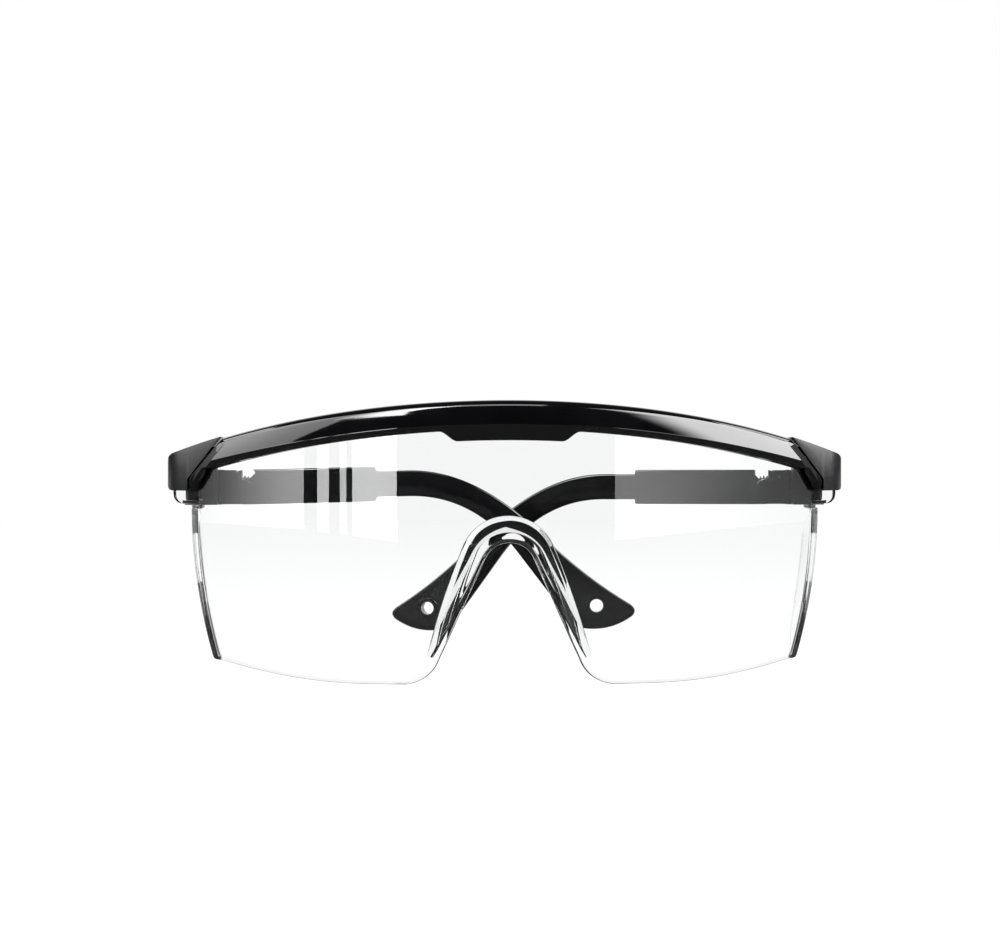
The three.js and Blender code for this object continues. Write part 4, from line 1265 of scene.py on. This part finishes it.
bpy.ops.mesh.primitive_circle_add(vertices=96, radius=2.2, fill_type="NGON")
floor = named(bpy.context.object, "pale_floor")
select_all_in(floor, "FACE")
bpy.ops.mesh.inset(thickness=1.2)
bpy.ops.mesh.select_all(action="SELECT")
bpy.ops.transform.translate(value=(0, 0, FLOOR_LEVEL))
done(floor)
floor.data.materials.append(glowing_sheet("pale_sheet", 0.05, 0.99, 0.02))
print("floor:", [round(value, 2) for value in floor.dimensions], "m")

# %% [markdown]
# The front is curved, so each place on it mirrors another direction. Lamps are therefore set out by
# the directions that they fill, as seen from the glasses: azimuth from straight ahead, to the
# wearer's left, and height above the horizon. Low lamps show in the lens, high ones in the bar.

# %% Lamps
scene = bpy.context.scene
FOCUS = Vector((0, -0.02, 0.046))
LAMP_REACH = 1.2


def lamp_direction(azimuth, height):
    a, h = math.radians(azimuth), math.radians(height)
    return Vector((math.sin(a) * math.cos(h), -math.cos(a) * math.cos(h), math.sin(h)))


def soft_lamp(name, azimuths, heights, brightness, fade=None):
    """fade=(start, end, share): brightness grows from that share, across the lamp's own width."""
    middle_a, middle_h = sum(azimuths) / 2, sum(heights) / 2
    half_a = math.radians(abs(azimuths[1] - azimuths[0]) / 2)
    half_h = math.radians((heights[1] - heights[0]) / 2)
    light = bpy.data.lights.new(name, "AREA")
    light.shape = "RECTANGLE"
    light.size = 2 * LAMP_REACH * math.tan(half_a) * math.cos(math.radians(middle_h))
    light.size_y = 2 * LAMP_REACH * math.tan(half_h)
    light.energy = brightness * math.pi * light.size * light.size_y
    lamp = bpy.data.objects.new(name, light)
    scene.collection.objects.link(lamp)
    lamp.location = FOCUS + lamp_direction(middle_a, middle_h) * LAMP_REACH
    lamp.rotation_euler = (FOCUS - lamp.location).to_track_quat("-Z", "Y").to_euler()
    lamp.visible_camera = False
    lamp.visible_transmission = False
    if fade:
        light.use_nodes = True
        tree = light.node_tree
        place = tree.nodes.new("ShaderNodeNewGeometry").outputs["Parametric"]
        start, end, share = fade
        level = ramp(tree, share_of(tree, place, "X"), start, end, share, 1)
        tree.links.new(level, tree.nodes["Emission"].inputs["Strength"])
    return lamp


soft_lamp("right_low", (26.5, 70), (-4, 9), 4.4, (1.0, 0.0, 0.2))
soft_lamp("left_low", (-70, -44.3), (-4, 9), 7.5, (0.1, 1.0, 0.1))
soft_lamp("left_low_bright", (-33.9, -24), (-4, 9), 14)
soft_lamp("left_strip_1", (-36.6, -35.2), (-4, 9), 12)
soft_lamp("left_strip_2", (-41.5, -39), (-4, 9), 12)
soft_lamp("right_high", (36, 84), (8, 58), 15, (0.02, 0.34, 0.0))
soft_lamp("left_high", (-84, -45), (8, 58), 8, (1.0, 0.0, 0.5))
soft_lamp("left_streak", (-50, -24), (34, 66), 26, (0.0, 0.7, 0.2))
soft_lamp("top_faint", (-24, 24), (58, 80), 5.0)
for side in (-1, 1):
    soft_lamp(f"room_{side + 1}", (side * 92, side * 130), (22, 52), 6)
print("lamps:", len(bpy.data.lights))

# %% [markdown]
# The world is white where it is seen directly, and behind the glasses, where light that crosses the
# lens comes from. Elsewhere it is nearly black, so that mirrored rays find only the lamps.

# %% World
ROOM_BEHIND = (0.75, 0.93)


def pale_room(eye, mirror):
    """Pale straight to the eye and behind the glasses, and dark in every other direction."""
    world = bpy.data.worlds.new("room")
    scene.world = world
    world.use_nodes = True
    tree = world.node_tree
    background = tree.nodes["Background"]
    background.inputs["Color"].default_value = (1, 1, 1, 1)
    direction = tree.nodes.new("ShaderNodeTexCoord").outputs["Generated"]
    behind = ramp(tree, share_of(tree, direction, "Y"), *ROOM_BEHIND, 0, 1)
    camera_ray = tree.nodes.new("ShaderNodeLightPath").outputs["Is Camera Ray"]
    lit = math_step(tree, "MAXIMUM", camera_ray, behind)
    tree.links.new(ramp(tree, lit, 0, 1, mirror, eye), background.inputs["Strength"])


pale_room(1.0, 0.02)
print("world:", scene.world.name)

# %% [markdown]
# The camera stands half a metre away, level with the hinges. The lens and its flange are clear
# walls behind each other, so a ray needs many bounces: with too few, the edges turn black.

# %% Camera and picture
CAMERA_PLACE = Vector((-0.0181, -0.5180, 0.046))
CAMERA_TURN = math.radians(2)
camera_data = bpy.data.cameras.new("camera")
camera_data.lens = 81.5
camera_data.sensor_width = 36
camera_data.shift_x = -0.0055
camera = bpy.data.objects.new("camera", camera_data)
scene.collection.objects.link(camera)
camera.location = CAMERA_PLACE
look = Vector((math.sin(CAMERA_TURN), math.cos(CAMERA_TURN), 0))
camera.rotation_euler = look.to_track_quat("-Z", "Y").to_euler()
scene.camera = camera
scene.view_settings.view_transform = "Standard"
scene.cycles.max_bounces = 24
scene.cycles.glossy_bounces = 16
scene.cycles.transmission_bounces = 24
print("camera at, mm:", [round(value / MM, 1) for value in camera.location])

# %% Last update of the scene
bpy.context.view_layer.update()
